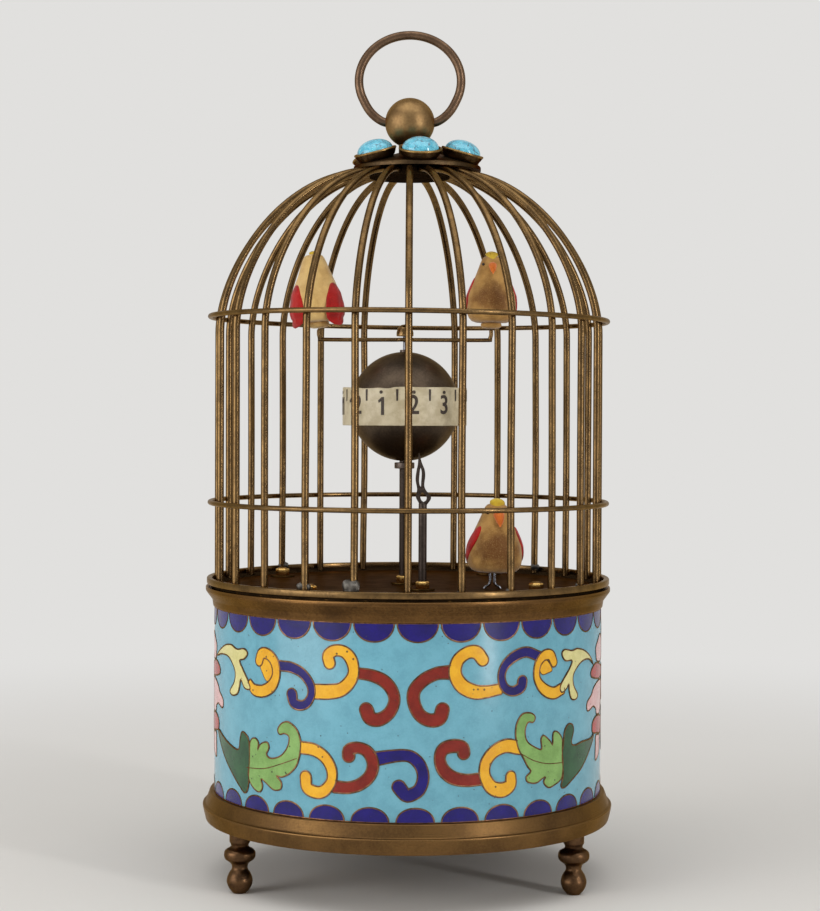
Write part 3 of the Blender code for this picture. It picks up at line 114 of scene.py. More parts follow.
def smoothPath(points, spacing, closed=False):
    # a Catmull-Rom curve through the points, read again at even steps of its length;
    # columns past the first two or three, such as a width, are carried along
    points = np.asarray(points, float)
    if closed:
        p0, p1, p2, p3 = (np.roll(points, shift, 0) for shift in (1, 0, -1, -2))
    else:
        ends = np.concatenate([[2 * points[0] - points[1]], points, [2 * points[-1] - points[-2]]])
        p0, p1, p2, p3 = ends[:-3], ends[1:-2], ends[2:-1], ends[3:]
    t = np.linspace(0, 1, surfaceForm["curveSteps"], endpoint=False)[None, :, None]
    p0, p1, p2, p3 = (p[:, None] for p in (p0, p1, p2, p3))
    curve = 0.5 * (2 * p1 + (p2 - p0) * t + (2 * p0 - 5 * p1 + 4 * p2 - p3) * t**2
                   + (3 * p1 - p0 - 3 * p2 + p3) * t**3)
    curve = np.concatenate([curve.reshape(-1, points.shape[1]), points[:1] if closed else points[-1:]])
    steps = np.linalg.norm(np.diff(curve[:, :3], axis=0), axis=1)
    length = np.concatenate([[0], np.cumsum(steps)])
    count = max(6, int(round(length[-1] / spacing)))
    at = np.linspace(0, length[-1], count + 1)
    read = np.stack([np.interp(at, length, column) for column in curve.T], 1)
    return read[:-1] if closed else read


def lathe(profile, sides, centre=(0.0, 0.0), closed=False):
    # a profile of (radius, height) turned about the upright line through centre
    profile = np.asarray(profile, float)
    turn = angles(sides)[None, :]
    radius, height = profile[:, :1], profile[:, 1:2]
    points = np.stack([centre[0] + radius * np.cos(turn), centre[1] + radius * np.sin(turn),
                       height + 0 * turn], -1)
    return grid(points, closed, True)


def softLathe(profile, radius, sides, centre=(0.0, 0.0), closed=True, steps=3):
    # a turned profile whose corners are rounded first
    return lathe(softCorners(profile, radius, steps, closed), sides, centre, closed)


def roundSection(radius, sides=12):
    # a circle as (across, up)
    turn = angles(sides)
    return np.stack([radius * np.cos(turn), radius * np.sin(turn)], 1)


def sweep(path, side, section, closed=False, scale=None):
    # a section of (across, up) carried along a path; up follows side, across lies square to both,
    # and an open end closes on a slightly drawn-in cap
    path = np.asarray(path, float)
    side = np.broadcast_to(np.asarray(side, float), path.shape)
    if closed:
        along = unit(np.roll(path, -1, 0) - np.roll(path, 1, 0))
    else:
        along = unit(np.gradient(path, axis=0))
    scale = np.ones(len(path)) if scale is None else np.asarray(scale, float)
    if not closed:
        reach = surfaceForm["endReach"] * np.abs(section).max()
        start, end = path[0] - along[0] * reach, path[-1] + along[-1] * reach
        path = np.concatenate([[start, start], path, [end, end]])
        along = np.concatenate([along[:1], along[:1], along, along[-1:], along[-1:]])
        side = np.concatenate([side[:1], side[:1], side, side[-1:], side[-1:]])
        width = surfaceForm["endWidth"]
        scale = np.concatenate([[0, width * scale[0]], scale, [width * scale[-1], 0]])
    across = unit(np.cross(along, side))
    up = np.cross(across, along)
    section = np.asarray(section, float)[None] * scale[:, None, None]
    points = path[:, None] + section[..., :1] * across[:, None] + section[..., 1:] * up[:, None]
    return grid(points, closed, True)


# pieces

def addPiece(name, shape, finish, stands=(), body="case", sharp=38, wearReach=0.8,
             chest=None):
    # the wear attribute is 1 on outer edges: it grows with how fast the normals spread there;
    # chest, where it is given, is a value for each point that the finish reads
    points, faces = shape
    mesh = bpy.data.meshes.new(name)
    mesh.from_pydata((np.asarray(points) * mm).tolist(), [], [f for part in faces for f in part.tolist()])
    if chest is not None:
        layer = mesh.attributes.new("chest", "FLOAT", "POINT")
        layer.data.foreach_set("value", np.asarray(chest, np.float32))
    work = bmesh.new()
    work.from_mesh(mesh)
    bmesh.ops.remove_doubles(work, verts=work.verts, dist=1e-6)
    bmesh.ops.dissolve_degenerate(work, dist=1e-7, edges=work.edges)
    bmesh.ops.recalc_face_normals(work, faces=work.faces)
    work.to_mesh(mesh)
    work.free()
    mesh.shade_smooth()
    mesh.set_sharp_from_angle(angle=math.radians(sharp))
    count = len(mesh.vertices)
    place, normal = np.empty(count * 3), np.empty(count * 3)
    mesh.vertices.foreach_get("co", place)
    mesh.vertices.foreach_get("normal", normal)
    ends = np.empty(len(mesh.edges) * 2, int)
    mesh.edges.foreach_get("vertices", ends)
    place, normal, ends = place.reshape(-1, 3), normal.reshape(-1, 3), ends.reshape(-1, 2)
    apart = place[ends[:, 1]] - place[ends[:, 0]]
    spread = ((normal[ends[:, 1]] - normal[ends[:, 0]]) * apart).sum(1)
    spread /= np.maximum((apart**2).sum(1), 1e-14)
    total = np.bincount(ends.ravel(), np.repeat(spread, 2), count)
    total /= np.maximum(np.bincount(ends.ravel(), minlength=count), 1)
    wear = np.clip(total * wearReach * mm - 0.25, 0, 1)
    layer = mesh.attributes.new("wear", "FLOAT", "POINT")
    layer.data.foreach_set("value", wear.astype(np.float32))
    mesh.materials.append(finishes[finish])
    piece = bpy.data.objects.new(name, mesh)
    bpy.context.scene.collection.objects.link(piece)
    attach(piece, body)
    if stands:
        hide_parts(*stands)
    return piece


# finishes

class Socket:
    # an output in a shader tree: + - and * on it add Math nodes, from either side
    def __init__(self, tree, end):
        self.tree = tree
        self.end = end

    def math(self, operation, other, flipped=False):
        node = self.tree.nodes.new("ShaderNodeMath")
        node.operation = operation
        values = [other, self] if flipped else [self, other]
        for inlet, value in zip(node.inputs, values):
            if isinstance(value, Socket):
                self.tree.links.new(value.end, inlet)
            else:
                inlet.default_value = value
        return Socket(self.tree, node.outputs[0])

    def __add__(self, other):
        return self.math("ADD", other)

    def __radd__(self, other):
        return self.math("ADD", other, True)

    def __sub__(self, other):
        return self.math("SUBTRACT", other)

    def __rsub__(self, other):
        return self.math("SUBTRACT", other, True)

    def __mul__(self, other):
        return self.math("MULTIPLY", other)

    def __rmul__(self, other):
        return self.math("MULTIPLY", other, True)


def linear(*shown):
    # a colour as read on a screen, 0 to 255, in linear light
    return tuple(((c / 255 + 0.055) / 1.055) ** 2.4 if c > 10 else c / 3294 for c in shown) + (1.0,)


class Finish:
    # one material: its shader, its Object coordinates and the patterns built on them
    def __init__(self, name, **fixed):
        self.material = bpy.data.materials.new(name)
        self.material.use_nodes = True
        self.tree = self.material.node_tree
        self.shader = self.tree.nodes["Principled BSDF"]
        for key, value in fixed.items():
            self.shader.inputs[key.replace("_", " ")].default_value = value
        self.place = self.node("ShaderNodeTexCoord", outlet="Object")
        self.relief = None

    def node(self, kind, settings=None, inputs=None, outlet=0):
        # settings come first, then the values or links of the sockets
        node = self.tree.nodes.new(kind)
        for key, value in (settings or {}).items():
            setattr(node, key, value)
        for key, value in (inputs or {}).items():
            if isinstance(value, Socket):
                self.tree.links.new(value.end, node.inputs[key])
            else:
                node.inputs[key].default_value = value
        return Socket(self.tree, node.outputs[outlet])

    def scaled(self, size, stretch=(1, 1, 1), shift=0.0, place=None):
        # coordinates in which size millimetres are 1, drawn out where stretch is above 1
        scale = [1 / (size * mm * s) for s in stretch]
        return self.node("ShaderNodeMapping", inputs={
            "Vector": place or self.place, "Scale": scale, "Location": (shift, 0.7 * shift, 1.3 * shift)})

    def noise(self, size, detail=3.0, rough=0.5, **more):
        # soft noise whose waves are size millimetres long
        return self.node("ShaderNodeTexNoise", inputs={
            "Vector": self.scaled(size, **more), "Scale": 1.0, "Detail": detail, "Roughness": rough})

    def cells(self, size, feature="F1", outlet="Distance", **more):
        # the distance to scattered points that stand about size millimetres apart
        return self.node("ShaderNodeTexVoronoi", {"feature": feature}, {
            "Vector": self.scaled(size, **more), "Scale": 1.0}, outlet)

    def turnedPlace(self, centre=(0.0, 0.0)):
        # (distance from an upright axis, height): rings as a lathe tool leaves them
        part = self.node("ShaderNodeSeparateXYZ", inputs={"Vector": self.place})
        y, z = (Socket(self.tree, part.end.node.outputs[i]) for i in (1, 2))
        x, y = part - centre[0] * mm, y - centre[1] * mm
        radius = (x * x + y * y).math("POWER", 0.5)
        return self.node("ShaderNodeCombineXYZ", inputs={"X": radius, "Y": 0.0, "Z": z})

    def step(self, value, low, high):
        # 0 below low, 1 above high, with a smooth rise between
        return self.node("ShaderNodeMapRange", {"interpolation_type": "SMOOTHSTEP"}, {
            "Value": value, "From Min": low, "From Max": high})

    def mix(self, factor, first, second):
        # the first colour at a factor of 0, the second at 1
        return self.node("ShaderNodeMix", {"data_type": "RGBA"}, {0: factor, 6: first, 7: second}, 2)

    def attribute(self, name):
        # a value that addPiece has put on the mesh
        return self.node("ShaderNodeAttribute", {"attribute_name": name}, outlet="Fac")

    def bump(self, height, depth):
        # depth is in millimetres for a height of 1
        inputs = {"Height": height, "Distance": depth * mm}
        if self.relief:
            inputs["Normal"] = self.relief
        self.relief = self.node("ShaderNodeBump", inputs=inputs)

    def done(self, **varied):
        # links what varies over the surface to the shader, and the relief to its Normal
        for key, value in varied.items():
            self.tree.links.new(value.end, self.shader.inputs[key.replace("_", " ")])
        if self.relief:
            self.tree.links.new(self.relief.end, self.shader.inputs["Normal"])
        return self.material


def agedMetal(name, fresh, dull, dark, rough=0.3, lines=0.0, patches=4.0, seed=0.0, centre=None, soot=0.5,
              edge=(236, 214, 184)):
    # brass or bronze that has darkened: bright on its rubbed edges, softly clouded elsewhere,
    # with fine grain, a few sooty specks and, where lines is above 0, the marks of a lathe tool;
    # edge is its colour at a grazing view
    f = Finish(name, Metallic=1.0, Specular_Tint=linear(*edge))
    clouds = f.noise(patches, 4.0, 0.55, shift=seed)
    grain = f.noise(0.42, 3.0, 0.6, shift=seed + 3.1)
    tarnish = f.step(clouds * 0.65 + grain * 0.35, 0.34, 0.66)
    specks = f.step(f.noise(0.9, 4.0, 0.7, shift=seed + 7), 0.58, 0.76)
    rubbed = f.step(f.attribute("wear") + (clouds - 0.5) * 0.5, 0.1, 0.75)
    color = f.mix(tarnish, linear(*fresh), linear(*dull))
    color = f.mix(specks * soot, color, linear(*dark))
    color = f.mix(rubbed * 0.75, color, linear(*(min(255, 1.16 * c + 6) for c in fresh)))
    f.bump(grain, 0.008)
    f.bump(f.noise(0.16, 2.0, 0.5, shift=seed), 0.0035)
    roughness = rough + tarnish * 0.08 + specks * 0.12 - rubbed * 0.07
    if lines:
        rings = f.noise(0.13, 2.0, 0.6, place=f.turnedPlace(centre or (0, 0)))
        f.bump(rings, lines)
        roughness = roughness + (rings - 0.5) * 0.25
    return f.done(Base_Color=color, Roughness=roughness)


def enamel(name, color, deep, seed=0.0, cloud=3.2, pits=0.1, gloss=0.2):
    # fired glass ground flush and polished: slightly cloudy, with small dark pits and soft waves
    f = Finish(name, Coat_Weight=0.36, Coat_Roughness=0.15, Specular_IOR_Level=0.2, IOR=1.5)
    clouds = f.noise(cloud, 4.0, 0.6, shift=seed)
    grain = f.noise(0.32, 3.0, 0.6, shift=seed + 5)
    shade = f.mix(f.step(clouds * 0.7 + grain * 0.3, 0.33, 0.68), linear(*color), linear(*deep))
    apart = f.cells(1.5, shift=seed)
    chance = f.step(f.noise(3.4, 1.0, 0.5, shift=seed + 9), 0.46, 0.52)
    pit = (1 - f.step(apart, pits * 0.5, pits)) * chance
    shade = f.mix(pit * 0.85, shade, linear(44, 34, 26))
    f.bump(clouds, 0.05)
    f.bump(grain, 0.004)
    f.bump(1 - pit, 0.05)
    roughness = gloss + grain * 0.1 + pit * 0.3
    return f.done(Base_Color=shade, Roughness=roughness)


finishes = {
    "brass": agedMetal("agedBrass", (172, 138, 84), (122, 96, 60), (58, 44, 32), 0.26, patches=3.0),
    # dark brass for the crown plate and its cups; on the cups' sides this darkness is painted shade below
    # their bright rims
    "plate": agedMetal("plateBrass", (96, 76, 51), (68, 54, 39), (42, 33, 26), 0.34, patches=3.0, seed=1.0,
                       edge=(170, 138, 100)),
    "bars": agedMetal("barBrass", (134, 106, 68), (98, 77, 51), (56, 43, 32), 0.2, patches=3.2, seed=2.0,
                      soot=0.3),
    "rim": agedMetal("rimBrass", (124, 93, 56), (94, 70, 44), (60, 44, 30), 0.3, lines=0.02,
                     patches=8.0, seed=4.0, soot=0.35),
    "bezel": agedMetal("bezelBrass", (116, 84, 48), (78, 56, 34), (50, 36, 24), 0.26, lines=0.018,
                       patches=9.0, seed=6.0, soot=0.35),
    "floor": agedMetal("floorBrass", (92, 68, 34), (58, 42, 22), (30, 23, 15), 0.42, patches=3.4, seed=8.0,
                       soot=0.6, edge=(150, 118, 78)),
    # near-black brass that is painted shade: it fills the slit under the cage ring and darkens the hub under
    # the crown
    "paintedShade": agedMetal("paintedShadeBrass", (60, 45, 29), (40, 30, 20), (22, 17, 13), 0.7, patches=3.0, seed=9.0,
                       edge=(56, 42, 28)),
    "foot": agedMetal("footBronze", (108, 80, 55), (76, 56, 40), (42, 32, 24), 0.3, patches=2.0, seed=10.0),
    "ring": agedMetal("ringBronze", (126, 101, 80), (98, 77, 61), (60, 46, 38), 0.31, patches=3.0, seed=12.0,
                      soot=0.3),
    "ball": agedMetal("ballBronze", (160, 129, 86), (126, 99, 66), (76, 58, 42), 0.35, patches=4.0,
                      seed=14.0, lines=0.006, soot=0.25),
    "globe": agedMetal("globeBronze", (102, 88, 74), (74, 64, 55), (48, 42, 37), 0.36, lines=0.008,
                       patches=5.0, seed=16.0, centre=(-0.8, 0), soot=0.35),
    "pipe": agedMetal("pipeBronze", (84, 74, 68), (60, 53, 49), (38, 33, 31), 0.4, patches=3.0, seed=18.0),
    "gold": agedMetal("nutBrass", (216, 176, 106), (182, 142, 80), (100, 74, 44), 0.22, patches=1.6,
                      seed=20.0, soot=0.3),
    "works": agedMetal("movementBrass", (198, 160, 94), (176, 138, 78), (120, 92, 54), 0.28,
                       patches=5.0, seed=22.0, soot=0.25),
    "steel": agedMetal("darkSteel", (124, 126, 134), (92, 94, 102), (50, 50, 56), 0.28, patches=2.0,
                       seed=24.0),
    "solder": agedMetal("solder", (108, 104, 98), (74, 71, 68), (42, 40, 38), 0.42, patches=1.2, seed=26.0),
    "cloison": agedMetal("cloisonWire", (142, 104, 76), (82, 60, 42), (50, 38, 29), 0.3, patches=1.2,
                         seed=28.0),
    "sky": enamel("skyEnamel", (112, 172, 190), (99, 157, 175), 1.0),
    "yellow": enamel("yellowEnamel", (234, 178, 40), (220, 156, 30), 2.0, pits=0.17),
    "blue": enamel("blueEnamel", (26, 14, 112), (18, 9, 84), 3.0),
    "red": enamel("redEnamel", (132, 34, 20), (104, 24, 15), 4.0),
    "lightGreen": enamel("lightGreenEnamel", (136, 176, 100), (114, 152, 82), 5.0, pits=0.15),
    "darkGreen": enamel("darkGreenEnamel", (44, 88, 54), (31, 66, 41), 6.0),
    "cream": enamel("creamEnamel", (220, 212, 148), (200, 192, 122), 7.0),
    "pink": enamel("pinkEnamel", (222, 182, 180), (206, 154, 154), 8.0),
    "heart": enamel("heartEnamel", (178, 30, 26), (144, 22, 20), 9.0),
}


def turquoiseStone():
    # sky-blue stone with a fine dark matrix: cell borders bent by noise, thinned by a mask
    f = Finish("turquoiseStone", Coat_Weight=0.6, Coat_Roughness=0.04, IOR=1.61)
    bend = f.node("ShaderNodeVectorMath", {"operation": "MULTIPLY_ADD"}, {
        0: f.node("ShaderNodeTexNoise", inputs={"Vector": f.scaled(0.9), "Scale": 1.0, "Detail": 3.0},
                  outlet="Color"), 1: (1.1 * mm,) * 3, 2: f.place})
    lines = f.node("ShaderNodeTexVoronoi", {"feature": "DISTANCE_TO_EDGE"}, {
        "Vector": f.scaled(1.7, place=bend), "Scale": 1.0}, "Distance")
    clouds = f.noise(1.3, 5.0, 0.65)
    vein = (1 - f.step(lines, 0.015, 0.075)) * f.step(f.noise(1.9, 2.0, shift=4), 0.44, 0.56)
    color = f.mix(f.step(clouds, 0.34, 0.66), linear(112, 204, 226), linear(76, 172, 200))
    color = f.mix(f.step(f.noise(0.5, 3.0, shift=8), 0.58, 0.72) * 0.5, color, linear(166, 214, 218))
    color = f.mix(vein * 0.8, color, linear(58, 74, 92))
    f.bump(vein, -0.02)
    return f.done(Base_Color=color, Roughness=0.16 + vein * 0.3)


def ivoryFinish():
    # a cast ivory-coloured ring, yellowed and dulled in clouds, with fine darker flecks
    f = Finish("ivoryBand", IOR=1.5)
    clouds = f.noise(2.4, 5.0, 0.6)
    # both tones sit below clean ivory: partly the band's own yellowing, partly painted shade from the cage
    # and crown above it
    color = f.mix(f.step(clouds, 0.35, 0.68), linear(204, 191, 160), linear(180, 165, 132))
    color = f.mix(f.step(f.noise(0.35, 3.0, shift=3), 0.6, 0.74) * 0.3, color, linear(140, 124, 94))
    f.bump(clouds, 0.05)
    return f.done(Base_Color=color, Roughness=0.38 + clouds * 0.12)


def inkFinish():
    # printed ink, thin and brown in blots
    f = Finish("numeralInk")
    blot = f.noise(0.25, 3.0, 0.6)
    color = f.mix(f.step(blot, 0.4, 0.7), linear(44, 34, 28), linear(76, 58, 44))
    return f.done(Base_Color=color, Roughness=0.5 + blot * 0.2)


def flock(name, color, deep, pale, seed, front=None):
    # short fibres: a fine mottled nap that catches light at its edge, over soft lumps;
    # front is the darker colour of the chest
    f = Finish(name, Sheen_Weight=0.35, Sheen_Roughness=0.5, Specular_IOR_Level=0.1)
    lumps = f.noise(2.2, 3.0, 0.5, shift=seed)
    nap = f.noise(0.2, 3.0, 0.6, shift=seed + 2)
    strands = f.noise(0.16, 3.0, 0.7, stretch=(1, 1, 5), shift=seed + 4)
    shade = f.mix(f.step(lumps, 0.34, 0.7) * 0.7, linear(*color), linear(*deep))
    if front:
        chest = f.attribute("chest") + (lumps - 0.5) * 0.6
        shade = f.mix(f.step(chest, 0.15, 0.85) * 0.85, shade, linear(*front))
    shade = f.mix(f.step(nap, 0.5, 0.74) * 0.45, shade, linear(*pale))
    shade = f.mix(f.step(strands, 0.54, 0.76) * 0.3, shade, linear(*deep))
    f.bump(lumps, 0.2)
    f.bump(nap * 0.6 + strands * 0.4, 0.09)
    return f.done(Base_Color=shade, Roughness=0.86 + nap * 0.12)


finishes.update(
    stone=turquoiseStone(), ivory=ivoryFinish(), ink=inkFinish(),
    tan=flock("tanFlock", (186, 142, 78), (150, 106, 52), (206, 168, 106), 1.0, (96, 54, 22)),
    straw=flock("strawFlock", (222, 186, 120), (192, 150, 88), (234, 206, 150), 2.0, (150, 104, 60)),
    wing=flock("redFlock", (184, 28, 24), (128, 14, 15), (208, 56, 44), 3.0),
    crest=flock("yellowFlock", (214, 182, 52), (178, 138, 32), (230, 208, 96), 5.0),
    beak=flock("orangeFlock", (222, 118, 44), (184, 84, 26), (236, 148, 74), 7.0),
)
print("finishes made:", len(finishes))


# feet and flange

footForm = {"circle": 37.0, "angles": {"foot_left": 210, "foot_right": 330, "foot_rear": 90},
            "profile": [(1.25, 0), (2.1, 1.03), (2.5, 2.4), (2.1, 3.8), (1.5, 4.8), (1.8, 5.8), (2.9, 6.7),
                        (2.9, 8.1), (1.7, 9.0), (2.0, 9.9)],
            "neck": (2.0, 11.4), "stud": (0.8, 14.0)}


def makeFeet():
    # a turned foot: a ball, a waist and a disc, with its stud going up into the flange
    neck, neckTop = footForm["neck"]
    stud, studTop = footForm["stud"]
    side = smoothPath(footForm["profile"], 0.3)
    side = np.concatenate([[(0, 0)], side, [(neck, neckTop), (stud, neckTop), (stud, studTop), (0, studTop)]])
    for name, angle in footForm["angles"].items():
        at = math.radians(angle)
        centre = footForm["circle"] * math.cos(at), footForm["circle"] * math.sin(at)
        addPiece(name + "Turned", lathe(side, 40, centre), "foot", [name])


flangeForm = {"profile": [(34.3, 11.7), (40.2, 11.7), (40.8, 14.3), (40.8, 14.7), (40.25, 14.8),
                          (39.37, 17.3), (28.0, 17.3), (28.0, 14.0), (34.3, 14.0)], "round": 0.22}


def makeFlange():
    # one turned profile: the rim outside, the rebate for the cover inside
    shape = softLathe(flangeForm["profile"], flangeForm["round"], 192)
    addPiece("flangeTurned", shape, "rim", ["base_flange"], wearReach=0.35)
    print("feet and flange made")


# drum

# lifts are how far the cells and wires stand off the ground colour; a cell that lies under another
# is a layer lower, and every cell's back is sunk into the wall
drumForm = {"radius": 38.5, "wall": 0.9, "low": 17.36, "high": 53.84, "round": 0.08, "layer": 0.03,
            "sink": -0.3, "crown": 0.015, "wire": 0.14, "thin": 0.08, "tail": 0.1,
            "lifts": {"leaf": 0.15, "rib": 0.16, "tail": 0.05, "heart": 0.09, "pink": 0.06, "scallop": 0.05,
                      "circle": 0.06}}
bezelForm = {"profile": [(36.9, 53.9), (38.8, 53.9), (39.0, 55.27), (40.3, 57.02), (40.3, 57.8),
                         (39.3, 57.8), (39.3, 56.5), (36.9, 56.5)], "round": 0.2}
# how many millimetres round the drum a degree is
perDegree = math.radians(1) * drumForm["radius"]


def onDrum(flat, lift):
    # (degrees, height) laid on the drum's side, lift outside it; also the way out there
    flat = np.asarray(flat, float)
    turn = np.radians(flat[..., 0])
    out = np.stack([np.sin(turn), -np.cos(turn), 0 * turn], -1)
    points = np.asarray(drumForm["radius"] + lift)[..., None] * out
    points = points + np.stack([0 * turn, 0 * turn, flat[..., 1]], -1)
    return points, out


def curved(flat, spacing=0.4, closed=True):
    # a line in (degrees, height), smoothed as it would lie flat in millimetres
    return smoothPath(np.array(flat) * (perDegree, 1), spacing, closed) / (perDegree, 1)


def scrollCell(rows, lift):
    # a strip along a traced middle line: it starts blunt, under its neighbour, and its half-width
    # runs out in a half circle at its far end; across it s goes from -1 to 1, crowned by 1 - s^2
    line = rows * (perDegree, 1, 1)
    back = unit(line[0, :2] - line[1, :2]) * 0.5 * line[0, 2]
    line = np.concatenate([[(*(line[0, :2] + back), line[0, 2])], line])
    line = smoothPath(line, 0.33)
    ahead = unit(np.gradient(line[:, :2], axis=0))
    bend = np.radians(np.linspace(15, 90, 6))
    first, last = line[0], line[-1]
    start = np.column_stack([first[:2] - ahead[0] * 0.35 * first[2] * np.sin(bend)[::-1, None],
                             first[2] * np.cos(bend)[::-1] ** 0.4])
    finish = np.column_stack([last[:2] + ahead[-1] * last[2] * np.sin(bend)[:, None], last[2] * np.cos(bend)])
    line = np.concatenate([start, line, finish])
    ahead = np.concatenate([np.repeat(ahead[:1], 6, 0), ahead, np.repeat(ahead[-1:], 6, 0)])
    square = np.stack([-ahead[:, 1], ahead[:, 0]], 1)
    share = np.array([-1, -0.8, -0.4, 0, 0.4, 0.8, 1, 1, -1.0])
    rise = np.array([0, 0.6, 0.9, 1, 0.9, 0.6, 0, 0, 0]) * drumForm["crown"] + lift
    rise[-2:] = drumForm["sink"]
    flat = line[:, None, :2] + square[:, None] * (line[:, 2:3] * share)[..., None]
    flat = flat / (perDegree, 1)
    points, _ = onDrum(flat, np.broadcast_to(rise, flat.shape[:2]))
    outline = np.concatenate([flat[:, 0], flat[-2:0:-1, 6]])
    return grid(points, False, True), outline


def inside(points, outline):
    # even-odd rule: how many of the outline's edges a ray towards +x crosses
    a, b = outline[None], np.roll(outline, -1, 0)[None]
    p = points[:, None]
    spans = (a[..., 1] > p[..., 1]) != (b[..., 1] > p[..., 1])
    rise = np.where(np.abs(b[..., 1] - a[..., 1]) < 1e-9, 1e-9, b[..., 1] - a[..., 1])
    crossing = a[..., 0] + (p[..., 1] - a[..., 1]) * (b[..., 0] - a[..., 0]) / rise
    return (spans & (p[..., 0] < crossing)).sum(1) % 2 == 1


def openRun(outline, cover):
    # the longest part of a closed outline clear of the cell lying over it, and whether it is whole
    hidden = inside(outline, cover)
    if not hidden.any():
        return outline, True
    count = len(outline)
    starts = np.flatnonzero(hidden & ~np.roll(hidden, -1))
    stops = np.flatnonzero(~hidden & np.roll(hidden, -1))
    lengths = np.array([((stops - start) % count).min() for start in starts])
    best = lengths.argmax()
    return np.roll(outline, -starts[best], 0)[:lengths[best] + 2], False


def slab(top, back, faces):
    # flat triangles twice over, with a wall on each edge that only one triangle uses
    sides = np.concatenate([faces[:, [0, 1]], faces[:, [1, 2]], faces[:, [2, 0]]])
    _, first, uses = np.unique(np.sort(sides, 1), axis=0, return_index=True, return_counts=True)
    rim = sides[first[uses == 1]]
    total = len(top)
    walls = np.column_stack([rim[:, 0], rim[:, 1], rim[:, 1] + total, rim[:, 0] + total])
    return np.concatenate([top, back]), [faces, faces[:, ::-1] + total, walls]


def flatCell(outline, lift, spacing=0.9, clear=0.3):
    # an outline on the drum filled with triangles round a net of inner points
    outline = np.asarray(outline, float) * (perDegree, 1)
    columns, rows = (np.arange(low, high, spacing) for low, high in zip(outline.min(0), outline.max(0)))
    net = np.stack(np.meshgrid(columns, rows), -1).reshape(-1, 2)
    net = net[inside(net, outline)]
    net = net[np.linalg.norm(net[:, None] - outline[None], axis=2).min(1) > clear]
    count = len(outline)
    edges = [(i, (i + 1) % count) for i in range(count)]
    every = [tuple(p) for p in np.concatenate([outline, net])]
    flat, _, faces, *_ = delaunay_2d_cdt(every, edges, [], 1, 1e-5)
    flat = np.array([tuple(p) for p in flat]) / (perDegree, 1)
    faces = np.array([f for f in faces if len(f) == 3])
    top, _ = onDrum(flat, lift)
    back, _ = onDrum(flat, drumForm["sink"])
    return slab(top, back, faces)


def drumWire(flat, lift, closed=True, half=drumForm["wire"]):
    # a flat strip set on edge and ground down: its top is slightly crowned, its foot in the enamel
    section = np.array([(-half, -0.2), (-half, 0.02), (-0.5 * half, 0.045), (0.5 * half, 0.045), (half, 0.02),
                        (half, -0.2)])
    points, out = onDrum(flat, lift)
    return sweep(points, out, section, closed)


